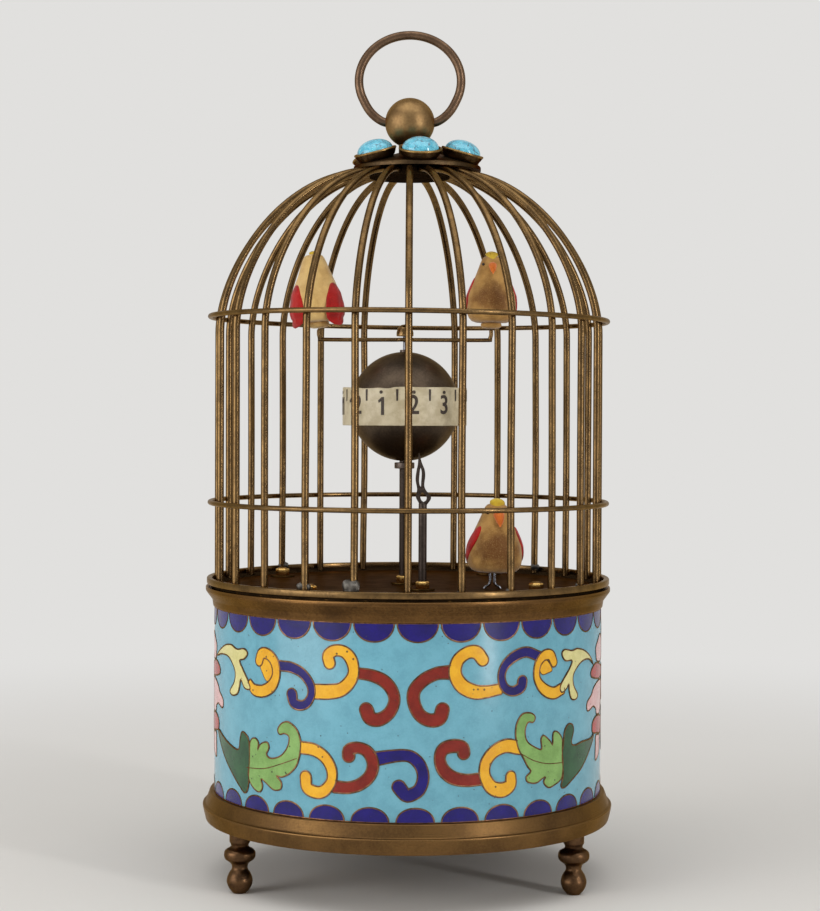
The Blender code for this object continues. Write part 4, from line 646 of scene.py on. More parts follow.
# each scroll's colour, the cell that lies over its start, and its middle line as rows of
# (degrees, height, half its width)
scrolls = {
    "hookLeft": ("yellow", "frondLeft", [
        (-50.2, 41.0, 0.73), (-48.3, 40.0, 1.04), (-44.5, 40.0, 1.1), (-41.0, 41.2, 1.1),
        (-39.3, 43.4, 0.92), (-40.0, 45.7, 0.98), (-42.4, 47.0, 0.98), (-45.1, 47.0, 1.02),
        (-46.2, 45.6, 1.02)]),
    "curlLeft": ("blue", "hookLeft", [
        (-37.5, 45.1, 0.92), (-33.9, 45.0, 0.92), (-30.3, 44.1, 0.86), (-27.7, 42.2, 0.79),
        (-27.3, 40.3, 0.73), (-28.6, 38.7, 0.79), (-30.7, 38.1, 0.86), (-33.0, 38.5, 0.97),
        (-33.7, 40.0, 1.12)]),
    "highLeft": ("yellow", "curlLeft", [
        (-25.4, 40.9, 1.34), (-22.0, 41.0, 1.34), (-18.4, 41.5, 1.22), (-15.8, 43.1, 1.1),
        (-14.8, 45.0, 0.98), (-15.6, 47.2, 1.1), (-17.7, 48.5, 1.04), (-20.4, 48.6, 1.02),
        (-22.2, 47.6, 1.1), (-21.8, 46.3, 1.12)]),
    "dropLeft": ("red", "highLeft", [
        (-13.1, 44.6, 0.98), (-9.8, 44.3, 1.04), (-6.5, 43.4, 1.1), (-4.3, 41.8, 1.04), (-3.5, 39.8, 0.98),
        (-4.8, 37.6, 1.04), (-7.5, 36.3, 1.16), (-10.1, 36.5, 1.24), (-11.2, 38.0, 1.26)]),
    "lowHookLeft": ("yellow", "leafLeft", [
        (-30.0, 30.3, 1.1), (-26.4, 30.1, 1.1), (-23.1, 28.9, 1.04), (-21.1, 26.8, 0.98),
        (-21.1, 24.6, 0.92), (-23.1, 22.8, 1.04), (-25.5, 22.3, 1.1), (-28.5, 23.0, 1.12),
        (-29.0, 24.9, 1.18)]),
    "lowRedLeft": ("red", "lowHookLeft", [
        (-19.5, 23.6, 1.1), (-16.0, 23.6, 1.04), (-12.6, 24.4, 1.04), (-10.0, 26.1, 1.04),
        (-9.3, 28.3, 1.04), (-10.8, 30.3, 1.04), (-13.4, 31.0, 0.98), (-15.9, 30.5, 1.12),
        (-16.1, 29.4, 1.16)]),
    "lowCurl": ("blue", "lowRedLeft", [
        (-7.5, 29.2, 1.22), (-4.2, 29.6, 1.1), (-0.9, 29.8, 1.04), (1.5, 29.4, 1.04), (3.6, 27.9, 1.04),
        (4.4, 25.7, 1.04), (3.3, 23.5, 1.1), (0.8, 22.5, 1.16), (-0.5, 22.6, 1.16), (-2.2, 24.0, 1.24)]),
    "dropRight": ("red", "highRight", [
        (11.2, 44.9, 1.22), (7.9, 44.7, 1.1), (4.3, 43.5, 1.1), (1.9, 41.6, 1.1), (1.8, 39.4, 1.1),
        (3.4, 37.2, 1.1), (6.1, 36.2, 1.16), (8.7, 36.5, 1.24), (9.6, 38.1, 1.24)]),
    "highRight": ("yellow", "curlRight", [
        (25.6, 41.4, 0.98), (22.0, 41.1, 1.1), (18.5, 41.2, 1.28), (15.0, 42.4, 1.28), (13.1, 44.6, 1.16),
        (13.8, 47.0, 1.1), (16.5, 48.4, 1.1), (19.2, 48.4, 1.2), (21.0, 47.0, 1.14)]),
    "curlRight": ("blue", "hookRight", [
        (38.9, 47.1, 0.92), (34.8, 48.0, 0.92), (30.7, 47.3, 0.92), (27.7, 45.7, 0.79), (26.7, 43.7, 0.73),
        (27.7, 41.7, 0.79), (30.3, 40.9, 0.86), (33.0, 41.5, 1.0), (33.5, 42.6, 1.06)]),
    "hookRight": ("yellow", "frondRight", [
        (48.6, 40.3, 1.1), (45.1, 39.8, 1.1), (41.3, 40.8, 1.04), (38.7, 42.9, 0.73), (38.9, 45.4, 0.73),
        (41.2, 47.0, 0.92), (43.9, 47.0, 1.0), (45.3, 45.6, 0.9)]),
    "lowHookRight": ("yellow", "leafRight", [
        (32.0, 30.4, 1.22), (28.2, 30.9, 1.22), (24.5, 30.0, 1.1), (22.1, 28.2, 1.04), (21.7, 25.8, 1.04),
        (23.7, 23.5, 1.22), (27.0, 22.8, 1.34), (29.6, 23.6, 1.2), (29.8, 25.1, 1.06)]),
    "lowRedRight": ("red", "lowHookRight", [
        (20.1, 25.1, 1.1), (16.3, 25.0, 1.1), (12.5, 25.6, 1.16), (9.9, 27.1, 1.1), (8.9, 29.1, 0.98),
        (9.8, 30.8, 1.1), (12.4, 31.4, 1.16), (15.1, 31.1, 1.14), (15.6, 30.0, 1.14)]),
}
# each leaf's colour and outline, in degrees and millimetres
leaves = {
    "frondLeft": ("cream", [
        (-74.3, 44.8), (-66.6, 47.1), (-61.4, 47.7), (-57.4, 47.1), (-53.3, 47.4), (-51.6, 46.6),
        (-53.3, 45.5), (-55.8, 45.0), (-54.0, 43.5), (-51.2, 41.4), (-50.2, 40.0), (-52.9, 40.0),
        (-55.0, 41.5), (-55.8, 40.1), (-56.9, 38.7), (-59.8, 38.1), (-61.7, 38.8), (-59.0, 40.6),
        (-58.2, 42.5), (-59.9, 44.1), (-63.3, 45.4), (-69.2, 45.4)]),
    "stemLeft": ("darkGreen", [
        (-72.0, 30.4), (-64.0, 28.9), (-58.0, 28.0), (-55.9, 28.3), (-55.3, 30.2), (-54.2, 31.6),
        (-51.7, 31.0), (-50.7, 29.9), (-50.4, 27.4), (-50.7, 24.1), (-51.0, 21.5), (-52.6, 20.1),
        (-55.5, 21.1), (-60.1, 23.2), (-65.1, 25.5), (-69.6, 28.1)]),
    "leafLeft": ("lightGreen", [
        (-50.1, 29.9), (-48.2, 30.9), (-46.4, 30.2), (-46.7, 28.7), (-45.3, 30.0), (-42.8, 30.5),
        (-42.0, 29.5), (-43.0, 28.2), (-41.1, 27.6), (-37.6, 28.3), (-35.2, 30.0), (-34.5, 32.0),
        (-36.2, 32.6), (-37.9, 32.3), (-38.6, 33.2), (-37.2, 34.4), (-34.8, 34.8), (-32.0, 33.6),
        (-30.7, 31.5), (-30.9, 29.2), (-32.0, 26.9), (-34.3, 25.3), (-37.1, 24.4), (-39.1, 24.5),
        (-37.3, 23.4), (-37.6, 22.1), (-40.1, 21.8), (-42.7, 22.7), (-45.2, 23.5), (-44.6, 22.1),
        (-45.5, 21.0), (-47.5, 21.1), (-50.0, 22.3), (-51.0, 24.0), (-50.4, 26.1)]),
    "frondRight": ("cream", [
        (68.3, 43.9), (65.2, 45.6), (61.1, 46.9), (56.9, 47.5), (53.9, 47.3), (50.1, 47.7), (48.9, 46.9),
        (50.5, 45.6), (53.9, 45.4), (52.5, 43.9), (49.5, 42.0), (48.0, 40.6), (48.9, 39.7), (50.9, 40.2),
        (52.2, 41.1), (52.5, 39.8), (53.6, 38.2), (55.8, 37.9), (57.0, 38.7), (54.7, 40.7), (54.6, 42.7),
        (57.7, 44.4), (61.2, 45.1), (65.2, 44.9)]),
    "stemRight": ("darkGreen", [
        (69.3, 30.2), (66.7, 29.5), (60.5, 29.5), (55.5, 29.2), (53.7, 29.9), (54.8, 32.1), (54.0, 33.3),
        (51.9, 33.4), (50.3, 32.2), (49.7, 29.9), (49.1, 27.5), (49.7, 24.1), (48.8, 22.0), (50.4, 21.6),
        (54.1, 22.7), (59.7, 24.5), (64.4, 26.8), (68.0, 28.8)]),
    "leafRight": ("lightGreen", [
        (46.9, 32.4), (45.2, 32.3), (44.9, 30.1), (43.8, 30.9), (41.3, 32.1), (40.3, 31.4), (40.6, 29.7),
        (39.3, 29.7), (35.4, 31.2), (34.4, 33.2), (35.4, 34.9), (37.3, 34.8), (38.0, 35.8), (36.3, 36.6),
        (33.5, 36.5), (31.7, 34.9), (31.3, 32.7), (32.2, 30.2), (34.0, 28.3), (35.4, 26.7), (36.6, 25.7),
        (35.0, 24.8), (35.5, 23.8), (38.4, 23.4), (40.9, 24.1), (42.2, 24.3), (41.4, 23.3), (43.3, 22.2),
        (45.8, 22.5), (48.8, 23.5), (49.5, 26.2), (49.1, 28.7), (49.0, 31.0)]),
}
ribs = [
    [(-51.7, 25.0), (-43.8, 25.5), (-37.1, 26.9), (-32.0, 28.2)],
    [(33.3, 29.1), (37.8, 27.6), (43.0, 26.7), (49.7, 26.4)],
]
lobes = {
    "hookLeft": [
        (-45.0, 46.0), (-42.6, 46.0), (-40.8, 44.8), (-40.9, 43.2), (-42.0, 42.0), (-43.4, 42.1),
        (-44.8, 43.4), (-45.7, 44.6)],
    "hookRight": [
        (42.2, 46.2), (43.8, 45.2), (44.6, 44.1), (42.8, 43.7), (40.8, 43.5), (39.7, 44.5), (40.8, 45.9)],
}
# how many scallops there are, where the first one stands, half their width and their depth; they start
# inset in from the wall's edge, over is added to every depth, and wire is half the rim wire's width
scallopForm = {"top": (30, -9.2, 3.75, 3.15), "bottom": (29, 27.1, 3.5, 2.45), "power": 2.05,
               "over": 0.24, "inset": 0.04, "wire": 0.1}
# half of each flower: how far ahead of its middle in degrees, and the height, with each cell
# mirrored behind it
flowerMiddles = (88.0, -92.0)
flowerCells = [
    ("pink", [
        (0, 50.4), (3.2, 49.4), (4.6, 47.0), (3.0, 44.8), (0, 43.8)]),
    ("pink", [
        (4.4, 44.6), (5.9, 47.6), (9.5, 49.0), (13.2, 48.0), (16.2, 46.7), (15.8, 45.2), (14.8, 44.1),
        (9.5, 43.6)]),
    ("heart", [
        (6.2, 42.2), (11.5, 43.3), (16.4, 43.7), (20.0, 43.0), (21.4, 42.2), (20.8, 41.4), (17.0, 40.8),
        (11.0, 40.4), (7.0, 41.0)]),
    ("pink", [
        (6.6, 39.6), (10.4, 40.0), (14.8, 39.8), (18.6, 39.0), (20.8, 37.8), (23.8, 36.9), (24.6, 35.9),
        (23.9, 35.0), (21.8, 35.1), (18.8, 35.5), (15.8, 34.7), (15.1, 33.7), (10.4, 33.5), (7.4, 35.0),
        (6.2, 37.4)]),
    ("heart", [
        (6.8, 32.4), (11.0, 33.1), (15.1, 33.3), (18.4, 32.8), (19.9, 31.9), (19.2, 30.4), (14.0, 29.9),
        (10.0, 29.5), (7.4, 30.4)]),
    ("pink", [
        (9.8, 28.9), (13.6, 29.5), (15.8, 29.4), (16.0, 27.6), (16.2, 24.9), (13.4, 25.0), (10.8, 26.0)]),
    ("pink", [
        (0, 34.2), (4.4, 33.2), (5.6, 30.2), (3.8, 27.0), (0, 25.2)]),
    ("heart", [
        (0, 42.6), (3.8, 41.9), (5.4, 39.6), (4.4, 36.9), (0, 35.3)]),
]
tails = [
    [(-74.2, 44.7), (-75.6, 44.6), (-76.9, 43.9)],
    [(68.2, 43.9), (68.9, 43.7), (69.6, 43.2)],
]


def scallop(centre, halfWidth, depth, edge, way):
    # a rounded tongue on the rim: |x|^power + |y|^power = 1 in its own width and depth
    t = np.linspace(0, np.pi, 19)
    power = 2 / scallopForm["power"]
    across = np.sign(np.cos(t)) * np.abs(np.cos(t)) ** power * halfWidth
    down = np.abs(np.sin(t)) ** power * depth
    return np.column_stack([centre + across / perDegree, edge + way * down])


def flowerOutlines(middle):
    # a cell that starts on the middle line is closed by its own mirror image, any other gets a twin
    for color, half in flowerCells:
        half = np.array(half, float)
        if half[0, 0] == 0:
            whole = [np.concatenate([half, half[-2:0:-1] * (-1, 1)])]
        else:
            whole = [half, half[::-1] * (-1, 1)]
        for outline in whole:
            yield color, curved(outline) + (middle, 0)


def layScrolls(turned, cells, wires):
    # the leaves first, then each scroll once the cell over its start is there, then the lobes
    layer, lift = drumForm["layer"], drumForm["lifts"]
    outlines, lifts = {}, {}
    for name, (color, outline) in leaves.items():
        outlines[name] = curved(outline) + (turned, 0)
        lifts[name] = lift["leaf"]
        cells.setdefault(color, []).append(flatCell(outlines[name], lifts[name]))
        wires.append(drumWire(outlines[name], lifts[name]))
    waiting = list(scrolls)
    while waiting:
        name = waiting.pop(0)
        color, over, rows = scrolls[name]
        if over not in lifts:
            waiting.append(name)
            continue
        lifts[name] = lifts[over] - layer
        shape, outlines[name] = scrollCell(np.array(rows) + (turned, 0, 0), lifts[name])
        cells.setdefault(color, []).append(shape)
        run, whole = openRun(outlines[name], outlines[over])
        wires.append(drumWire(run, lifts[name], whole))
    for name, lobe in lobes.items():
        outline = curved(lobe, 0.3) + (turned, 0)
        cells["yellow"].append(flatCell(outline, lifts[name] - layer))
        run, whole = openRun(outline, outlines[name])
        wires.append(drumWire(run, lifts[name] - layer, whole, drumForm["thin"]))
    kinds = {"rib": (ribs, drumForm["thin"]), "tail": (tails, drumForm["tail"])}
    for kind, (lines, half) in kinds.items():
        for line in lines:
            run = curved(np.array(line) + (turned, 0), 0.36, False)
            wires.append(drumWire(run, lift[kind], False, half))


def layScallops(cells, wires):
    # a row of tongues along each rim, their feet a little way under it, and a wire round the whole rim
    lift, over, inset = drumForm["lifts"], scallopForm["over"], scallopForm["inset"]
    edges = {"top": (drumForm["high"] - inset, -1), "bottom": (drumForm["low"] + inset, 1)}
    for name, (edge, way) in edges.items():
        count, first, halfWidth, depth = scallopForm[name]
        for centre in first + np.arange(count) * 360 / count:
            curve = scallop(centre, halfWidth, depth + over, edge, way)
            base = np.linspace(curve[-1], curve[0], 12)[1:-1]
            cells["blue"].append(flatCell(np.concatenate([curve, base]), lift["scallop"]))
            wires.append(drumWire(curve, lift["scallop"], False))
        circle = np.column_stack([np.arange(0, 360, 1.5), np.full(240, edge - way * inset / 2)])
        wires.append(drumWire(circle, lift["circle"], half=scallopForm["wire"]))


def makeDrum():
    # the wall in the ground colour, then all cells of one colour as one piece, all wires as another,
    # and the turned rim above
    radius, wall, low, high = (drumForm[key] for key in ("radius", "wall", "low", "high"))
    side = [(radius, low), (radius, high), (radius - wall, high), (radius - wall, low)]
    addPiece("enamelGround", softLathe(side, drumForm["round"], 256, steps=2), "sky", ["enamel_drum"])
    cells, wires = {}, []
    for turned in (0, 180):
        layScrolls(turned, cells, wires)
    for middle in flowerMiddles:
        for color, outline in flowerOutlines(middle):
            lift = drumForm["lifts"][color]
            cells.setdefault(color, []).append(flatCell(outline, lift))
            wires.append(drumWire(outline, lift))
    layScallops(cells, wires)
    for color, shapes in cells.items():
        addPiece(color + "Cells", joined(shapes), color, sharp=50)
    addPiece("cloisonWires", joined(wires), "cloison", wearReach=0.02)
    shape = softLathe(bezelForm["profile"], bezelForm["round"], 192)
    addPiece("bezelTurned", shape, "bezel", ["upper_bezel"], wearReach=0.7)
    print("drum:", len(wires), "wires")


# floor and what stands on it

floorForm = {"rim": [(38.98, 56.8), (38.98, 58.62), (37.08, 58.02), (37.08, 56.8)], "round": 0.03}


def makeFloor():
    # a raised rim carries the cage; the CAD plate inside keeps its holes and carries the finish. The rim's
    # near-black brass is painted shade that fills the slit under the cage ring
    shape = softLathe(floorForm["rim"], floorForm["round"], 192, steps=2)
    addPiece("floorRim", shape, "paintedShade", wearReach=0.02)


nutForm = {"names": ["floor_nut_1", "floor_nut_2", "floor_nut_3", "floor_nut_4", "pointer_nut", "pipe_nut"],
           "gap": 0.3, "clear": 0.06, "wall": 0.45, "bevel": 0.2, "overlap": 0.05}


def makeNuts():
    # a node gives each nut its place, stud and height; the washer below is as wide as the node
    gap, clear, wall, bevel = (nutForm[key] for key in ("gap", "clear", "wall", "bevel"))
    washers = []
    for name in nutForm["names"]:
        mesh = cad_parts[name].data
        points = np.empty(len(mesh.vertices) * 3)
        mesh.vertices.foreach_get("co", points)
        points = points.reshape(-1, 3) / mm
        low, high = points.min(0), points.max(0)
        centre = (low + high)[:2] / 2
        apart = np.linalg.norm(points[:, :2] - centre, axis=1)
        stud, reach, foot, top = apart.min() - gap + clear, apart.max(), low[2], high[2]
        side = [(stud, foot), (stud + wall, foot), (stud + wall, top - bevel), (stud + wall - bevel, top),
                (stud, top)]
        addPiece(name.replace("_", "") + "Cut", softLathe(side, 0.05, 6, centre, steps=2), "gold", [name],
                 sharp=25)
        lid = foot + nutForm["overlap"]
        washer = [(stud, foot - gap), (reach, foot - gap), (reach, lid), (stud, lid)]
        washers.append(softLathe(washer, 0.08, 40, centre, steps=2))
    addPiece("nutWashers", joined(washers), "floor", wearReach=0.05)
    print("nuts:", len(washers))


# cage

# each bar sways a little to its sides: how far, as a spread, and how fast over its height
cageForm = {"bars": 24, "radius": 0.7, "circle": 38.0, "foot": 58.3, "shoulder": 108.0,
            "bend": [(38.0, 108.0), (38.0, 120.2), (25.9, 140.1), (7.3, 140.1)],
            "sway": [(0.09, 2.6), (0.07, 4.4)], "swayOver": 50,
            "hub": [(0, 138.9), (8.0, 138.9), (8.0, 141.1), (0, 141.1)],
            "ring": [(39.0, 58.3), (40.1, 58.3), (40.1, 59.6), (39.0, 59.6)]}
hoopForm = {"radius": 39.5, "wire": 0.5, "lower_hoop": (74.4, 0.0), "upper_hoop": (110.8, 0.55)}
# the drops' sizes by the number of their bar, counted from the front bar to the right
blobForm = {"sizes": {22: 1.1, 23: 1.5, 21: 0.6, 1: 0.65, 2: 0.7, 4: 0.6, 9: 0.8, 15: 0.9},
            "shape": (1.05, 0.85, 1.15), "circle": 37.9, "foot": 58.7, "aside": 0.3, "lift": 0.95}


def barPath():
    # upright, then a cubic Bezier curve over the dome: (distance out, height)
    t = np.linspace(0, 1, 40)[1:, None]
    a, b, c, d = (np.array(p) for p in cageForm["bend"])
    dome = a * (1 - t) ** 3 + 3 * b * t * (1 - t) ** 2 + 3 * c * t**2 * (1 - t) + d * t**3
    rise = np.linspace(cageForm["foot"], cageForm["shoulder"], 14)
    return np.concatenate([np.column_stack([np.full(14, cageForm["circle"]), rise]), dome])


def blob(place, size, seed):
    # a drop of solder: a ball whose distance out swells and sinks in waves
    rise = np.linspace(0, np.pi, 14)[:, None]
    turn = angles(20)[None, :]
    swell = 1 + 0.16 * np.sin(3 * turn + seed) * np.sin(rise) + 0.1 * np.sin(4 * rise + seed)
    swell = size * (swell + 0.08 * np.sin(7 * turn + 5 * rise + seed) * np.sin(rise))
    wide, deep, tall = blobForm["shape"]
    points = np.stack([wide * swell * np.sin(rise) * np.cos(turn), deep * swell * np.sin(rise) * np.sin(turn),
                       tall * swell * np.cos(rise)], -1)
    return grid(points + place, False, True)


def makeBars(rng):
    # each bar is the path swept by a circle; the sway fades out at its foot and at the hub
    path = barPath()
    end = cageForm["bend"][-1][0]
    bars, blobs = [], []
    for i in range(cageForm["bars"]):
        at = math.radians(-90 + 360 * i / cageForm["bars"])
        out, side = np.array([math.cos(at), math.sin(at), 0]), np.array([-math.sin(at), math.cos(at), 0])
        share = (path[:, 1] - cageForm["foot"]) / cageForm["swayOver"]
        sway = sum(rng.normal(0, size) * np.sin(share * pace) for size, pace in cageForm["sway"])
        sway *= np.clip(share * 3, 0, 1) * np.clip((path[:, 0] - end) / 8, 0, 1)
        points = path[:, :1] * out + sway[:, None] * side + path[:, 1:] * np.array(upright)
        bars.append(sweep(points, side, roundSection(cageForm["radius"], 14)))
        if i in blobForm["sizes"]:
            size = blobForm["sizes"][i]
            place = blobForm["circle"] * out - blobForm["aside"] * size * side
            blobs.append(blob(place + (0, 0, blobForm["foot"] + blobForm["lift"] * size), size, i))
    return bars, blobs


def makeCage():
    # a hoop is a circle whose height falls to the right by its lean
    bars, blobs = makeBars(np.random.default_rng(7))
    hub = softLathe(cageForm["hub"], 0.25, 64, closed=False)
    addPiece("barsBent", joined(bars), "bars", ["cage_bars"], wearReach=0.02)
    # the hub under the crown is near-black brass: painted shade
    addPiece("hubTurned", hub, "paintedShade", wearReach=0.02)
    addPiece("solderDrops", joined(blobs), "solder", wearReach=0.02)
    addPiece("cageRingTurned", softLathe(cageForm["ring"], 0.3, 192), "bars", ["cage_base_ring"],
             wearReach=0.3)
    turn, reach = angles(144), hoopForm["radius"]
    for name in ("lower_hoop", "upper_hoop"):
        level, lean = hoopForm[name]
        drop = reach * np.cos(turn) * math.tan(math.radians(lean))
        points = np.stack([reach * np.cos(turn), reach * np.sin(turn), level - drop], 1)
        addPiece(name + "Bent", sweep(points, upright, roundSection(hoopForm["wire"], 14), True), "bars",
                 [name], wearReach=0.02)
    print("cage:", len(bars), "bars")


# crown, stones, finial and bail

crownForm = {"radius": 12.7, "rim": 140.416, "thick": 0.8, "slope": 17.0, "flat": 4.2, "bore": 1.4,
             "offset": 1.5}
stoneForm = {"count": 6, "first": -86.5, "circle": 9.5, "base": 142.194, "radius": 3.6, "dome": 3.1,
             "girdle": 0.25, "seat": 0.8}
# the cup's profile runs up its outside and down into the seat; rolled is its bead's radius
cupForm = {"profile": [(0, -0.4), (2.85, -0.4), (3.35, 0.0), (3.73, 0.4), (3.95, 0.8), (4.09, 1.15),
                       (4.15, 1.3), (4.15, 1.45), (3.85, 1.45), (3.85, 0.9), (3.5, 0.55), (0, 0.5)],
           "bead": (4.03, 1.5), "rolled": 0.27}
finialForm = {"radius": 4.95, "middle": 150.009, "neck": 2.2, "seat": 144.115, "neckHeight": 1.46,
              "sink": 1.2}
bailForm = {"radius": 10.18, "height": 9.1, "wire": 0.87, "rise": 8.3, "start": -22,
            "end": [(2.2, 0), (3.8, -0.05), (5.3, 0.2), (6.9, 1.2), (8.3, 2.75)]}


def stoneFrames():
    # where each stone stands: round the crown's own axis, tipped outwards by its slope
    for i in range(stoneForm["count"]):
        at = math.radians(stoneForm["first"] + 360 * i / stoneForm["count"])
        yield (Matrix.Translation((crownForm["offset"], 0, 0)) @ Matrix.Rotation(at, 4, "Z")
               @ Matrix.Translation((stoneForm["circle"], 0, stoneForm["base"]))
               @ Matrix.Rotation(math.radians(crownForm["slope"]), 4, "Y"))


def makeCrown():
    # the plate is off the axis, and the rows of its top and its underside run from its rim to the bore
    rim, thick, radius, flat, bore, offset = (crownForm[key] for key in
                                              ("rim", "thick", "radius", "flat", "bore", "offset"))
    rise = (radius - flat) * math.tan(math.radians(crownForm["slope"]))
    side = softCorners([(radius, rim), (radius, rim + thick), (flat, rim + thick + rise)], 0.3, 4)
    turn = angles(120)
    across, deep, level = np.cos(turn), np.sin(turn), 0 * turn
    top = np.stack([offset + side[:, :1] * across, side[:, :1] * deep, side[:, 1:] + level], -1)
    hole = np.stack([bore * across, bore * deep, level + rim + thick + rise], -1)
    under = np.stack([offset + flat * across, flat * deep, level + rim + rise], -1)
    plate = grid(np.concatenate([top, [hole], [hole - (0, 0, thick)], [under]]), True, True)
    cup = softLathe(cupForm["profile"], 0.08, 48, closed=False, steps=2)
    # the cups take the plate's dark brass: painted shade on their sides under the bright beads of cupRims
    addPiece("crownTurned", joined([plate] + [moved(cup, placing) for placing in stoneFrames()]), "plate",
             ["crown_plate"], wearReach=0.25)
    bead = lathe(roundSection(cupForm["rolled"]) + cupForm["bead"], 48, closed=True)
    addPiece("cupRims", joined(moved(bead, placing) for placing in stoneFrames()), "brass",
             wearReach=0.02)


def makeStones():
    # a straight girdle, then a quarter of an ellipse turned into a dome
    low, high, reach, girdle = (stoneForm[key] for key in ("seat", "dome", "radius", "girdle"))
    bend = np.radians(np.linspace(0, 90, 16))
    side = np.column_stack([reach * np.cos(bend), low + girdle * high + (1 - girdle) * high * np.sin(bend)])
    side = np.concatenate([[(0, low), (reach - 0.1, low), (reach, low + 0.12)], side])
    side[-1, 0] = 0
    stone = lathe(side, 48)
    for i, placing in enumerate(stoneFrames(), 1):
        addPiece(f"cabochon{i}Cut", moved(stone, placing), "stone", [f"cabochon_{i}"])


def makeFinial():
    # a circle's arc turned into a ball, on a neck that goes down into the crown
    neck, seat, middle, ball, sink = (finialForm[key] for key in ("neck", "seat", "middle", "radius", "sink"))
    foot = math.asin((middle - seat - finialForm["neckHeight"]) / ball)
    bend = np.linspace(-foot, np.pi / 2, 28)
    side = np.concatenate([[(0, seat - sink), (0.5 * neck, seat - sink), (0.5 * neck, seat), (neck, seat)],
                           np.column_stack([ball * np.cos(bend), middle + ball * np.sin(bend)])])
    side[-1, 0] = 0
    addPiece("finialTurned", lathe(side, 64), "ball", ["finial_ball"])


def makeBail():
    # an oval of wire whose ends come in level through the ball
    start = math.radians(bailForm["start"])
    bend = np.linspace(start, np.pi - start, 25)
    reach, rise, tall = (bailForm[key] for key in ("radius", "rise", "height"))
    ring = np.column_stack([reach * np.cos(bend), rise + tall * np.sin(bend)])
    side = np.array(bailForm["end"])
    flat = smoothPath(np.concatenate([side, ring, side[::-1] * (-1, 1)]), 0.45)
    points = np.column_stack([flat[:, 0], 0 * flat[:, 0], flat[:, 1] + finialForm["middle"]])
    addPiece("bailBent", sweep(points, (0, 1, 0), roundSection(bailForm["wire"], 20)), "ring",
             ["bail_ring"], body="bail", wearReach=0.02)
    print("crown, stones, finial and bail made")


# globe and hour band

globeForm = {"centre": (-0.8, 0.0), "middle": 93.5, "radius": 10.9, "wall": 0.6, "bore": 1.3, "web": 0.9}
pipeForm = {"profile": [(0.7, 43.1), (1.0, 43.1), (1.0, 81.1), (2.0, 81.1), (2.0, 82.3), (1.0, 82.3),
                        (1.0, 104.8), (0.7, 104.8)], "round": 0.15}
# dips are where the band's upper edge is worn: (degrees, how wide in degrees, how deep)
bandForm = {"radius": 12.4, "thick": 0.7, "low": 89.7, "high": 97.3, "web": 0.3, "tongue": 1.2,
            "first": -51.6, "step": 30.0, "figure": (3.75, 93.85), "dot": (0.34, 96.25),
            "tick": (2.5, 0.46, 0.25),
            "dips": [(-106, 5, 0.26), (-128, 14, 0.3), (20, 9, 0.25), (110, 12, 0.2)]}


def onBand(flat, lift):
    # (across in millimetres, height) wrapped round the band
    turn = flat[:, 0] / bandForm["radius"]
    reach = bandForm["radius"] + lift
    return np.column_stack([globeForm["centre"][0] + reach * np.sin(turn), -reach * np.cos(turn), flat[:, 1]])


def glyph(text):
    # one figure from the built-in font as flat triangles, from 0 to 1 high, its left edge at 0
    if text == "1":
        points = np.array([(0.17, -0.05), (0.33, -0.05), (0.33, 0.88), (0.2, 0.88), (0.0, 0.7), (0.03, 0.58),
                           (0.17, 0.66)])
        return points, np.array([(0, 1, 2), (0, 2, 6), (6, 2, 3), (6, 3, 4), (6, 4, 5)])
    curve = bpy.data.curves.new("figure", "FONT")
    curve.body, curve.offset = text, 0.014
    holder = bpy.data.objects.new("figure", curve)
    bpy.context.scene.collection.objects.link(holder)
    bpy.context.view_layer.update()
    mesh = bpy.data.meshes.new_from_object(holder)
    bpy.data.objects.remove(holder)
    work = bmesh.new()
    work.from_mesh(mesh)
    bmesh.ops.remove_doubles(work, verts=work.verts, dist=1e-5)
    bmesh.ops.triangulate(work, faces=work.faces)
    points = np.array([v.co for v in work.verts])[:, :2]
    faces = np.array([[v.index for v in f.verts] for f in work.faces])
    work.free()
    low, high = points.min(0), points.max(0)
    return (points - low) / (high[1] - low[1]) * (0.86, 1), faces


def figureShape(text, height):
    # a number's figures side by side, its middle at 0
    shapes, reach = [], 0.0
    for letter in text:
        points, faces = glyph(letter)
        shapes.append((points + (reach, 0), [faces]))
        reach += points[:, 0].max() + 0.13
    points, faces = joined(shapes)
    return (points - ((reach - 0.13) / 2, 0.5)) * height, np.concatenate(faces)


def bandSlab(points, faces, lift=0.07, sink=0.15):
    # flat triangles as a thin slab on the band
    return slab(onBand(points, lift), onBand(points, -sink), faces)


def fan(outline):
    # triangles from the first point of a flat outline that bulges everywhere
    index = np.arange(1, len(outline) - 1)
    return np.asarray(outline, float), np.column_stack([0 * index, index, index + 1])


def makeShells():
    # two half shells, each with a bore for the pipe and its rim against the band's web
    middle, reach, bore, rim = (globeForm[key] for key in ("middle", "radius", "bore", "web"))
    inner = reach - globeForm["wall"]
    for name, way in (("globe_upper", 1), ("globe_lower", -1)):
        bend = np.linspace(math.asin(rim / 2 / reach), math.acos(bore / reach), 28)
        back = np.linspace(math.acos(bore / inner), math.asin(rim / 2 / inner), 14)
        side = np.concatenate([np.column_stack([reach * np.cos(bend), reach * np.sin(bend)]),
                               np.column_stack([inner * np.cos(back), inner * np.sin(back)])])
        side = side * (1, way) + (0, middle)
        addPiece(name + "Spun", lathe(side, 72, globeForm["centre"], True), "globe", [name], body="globe")


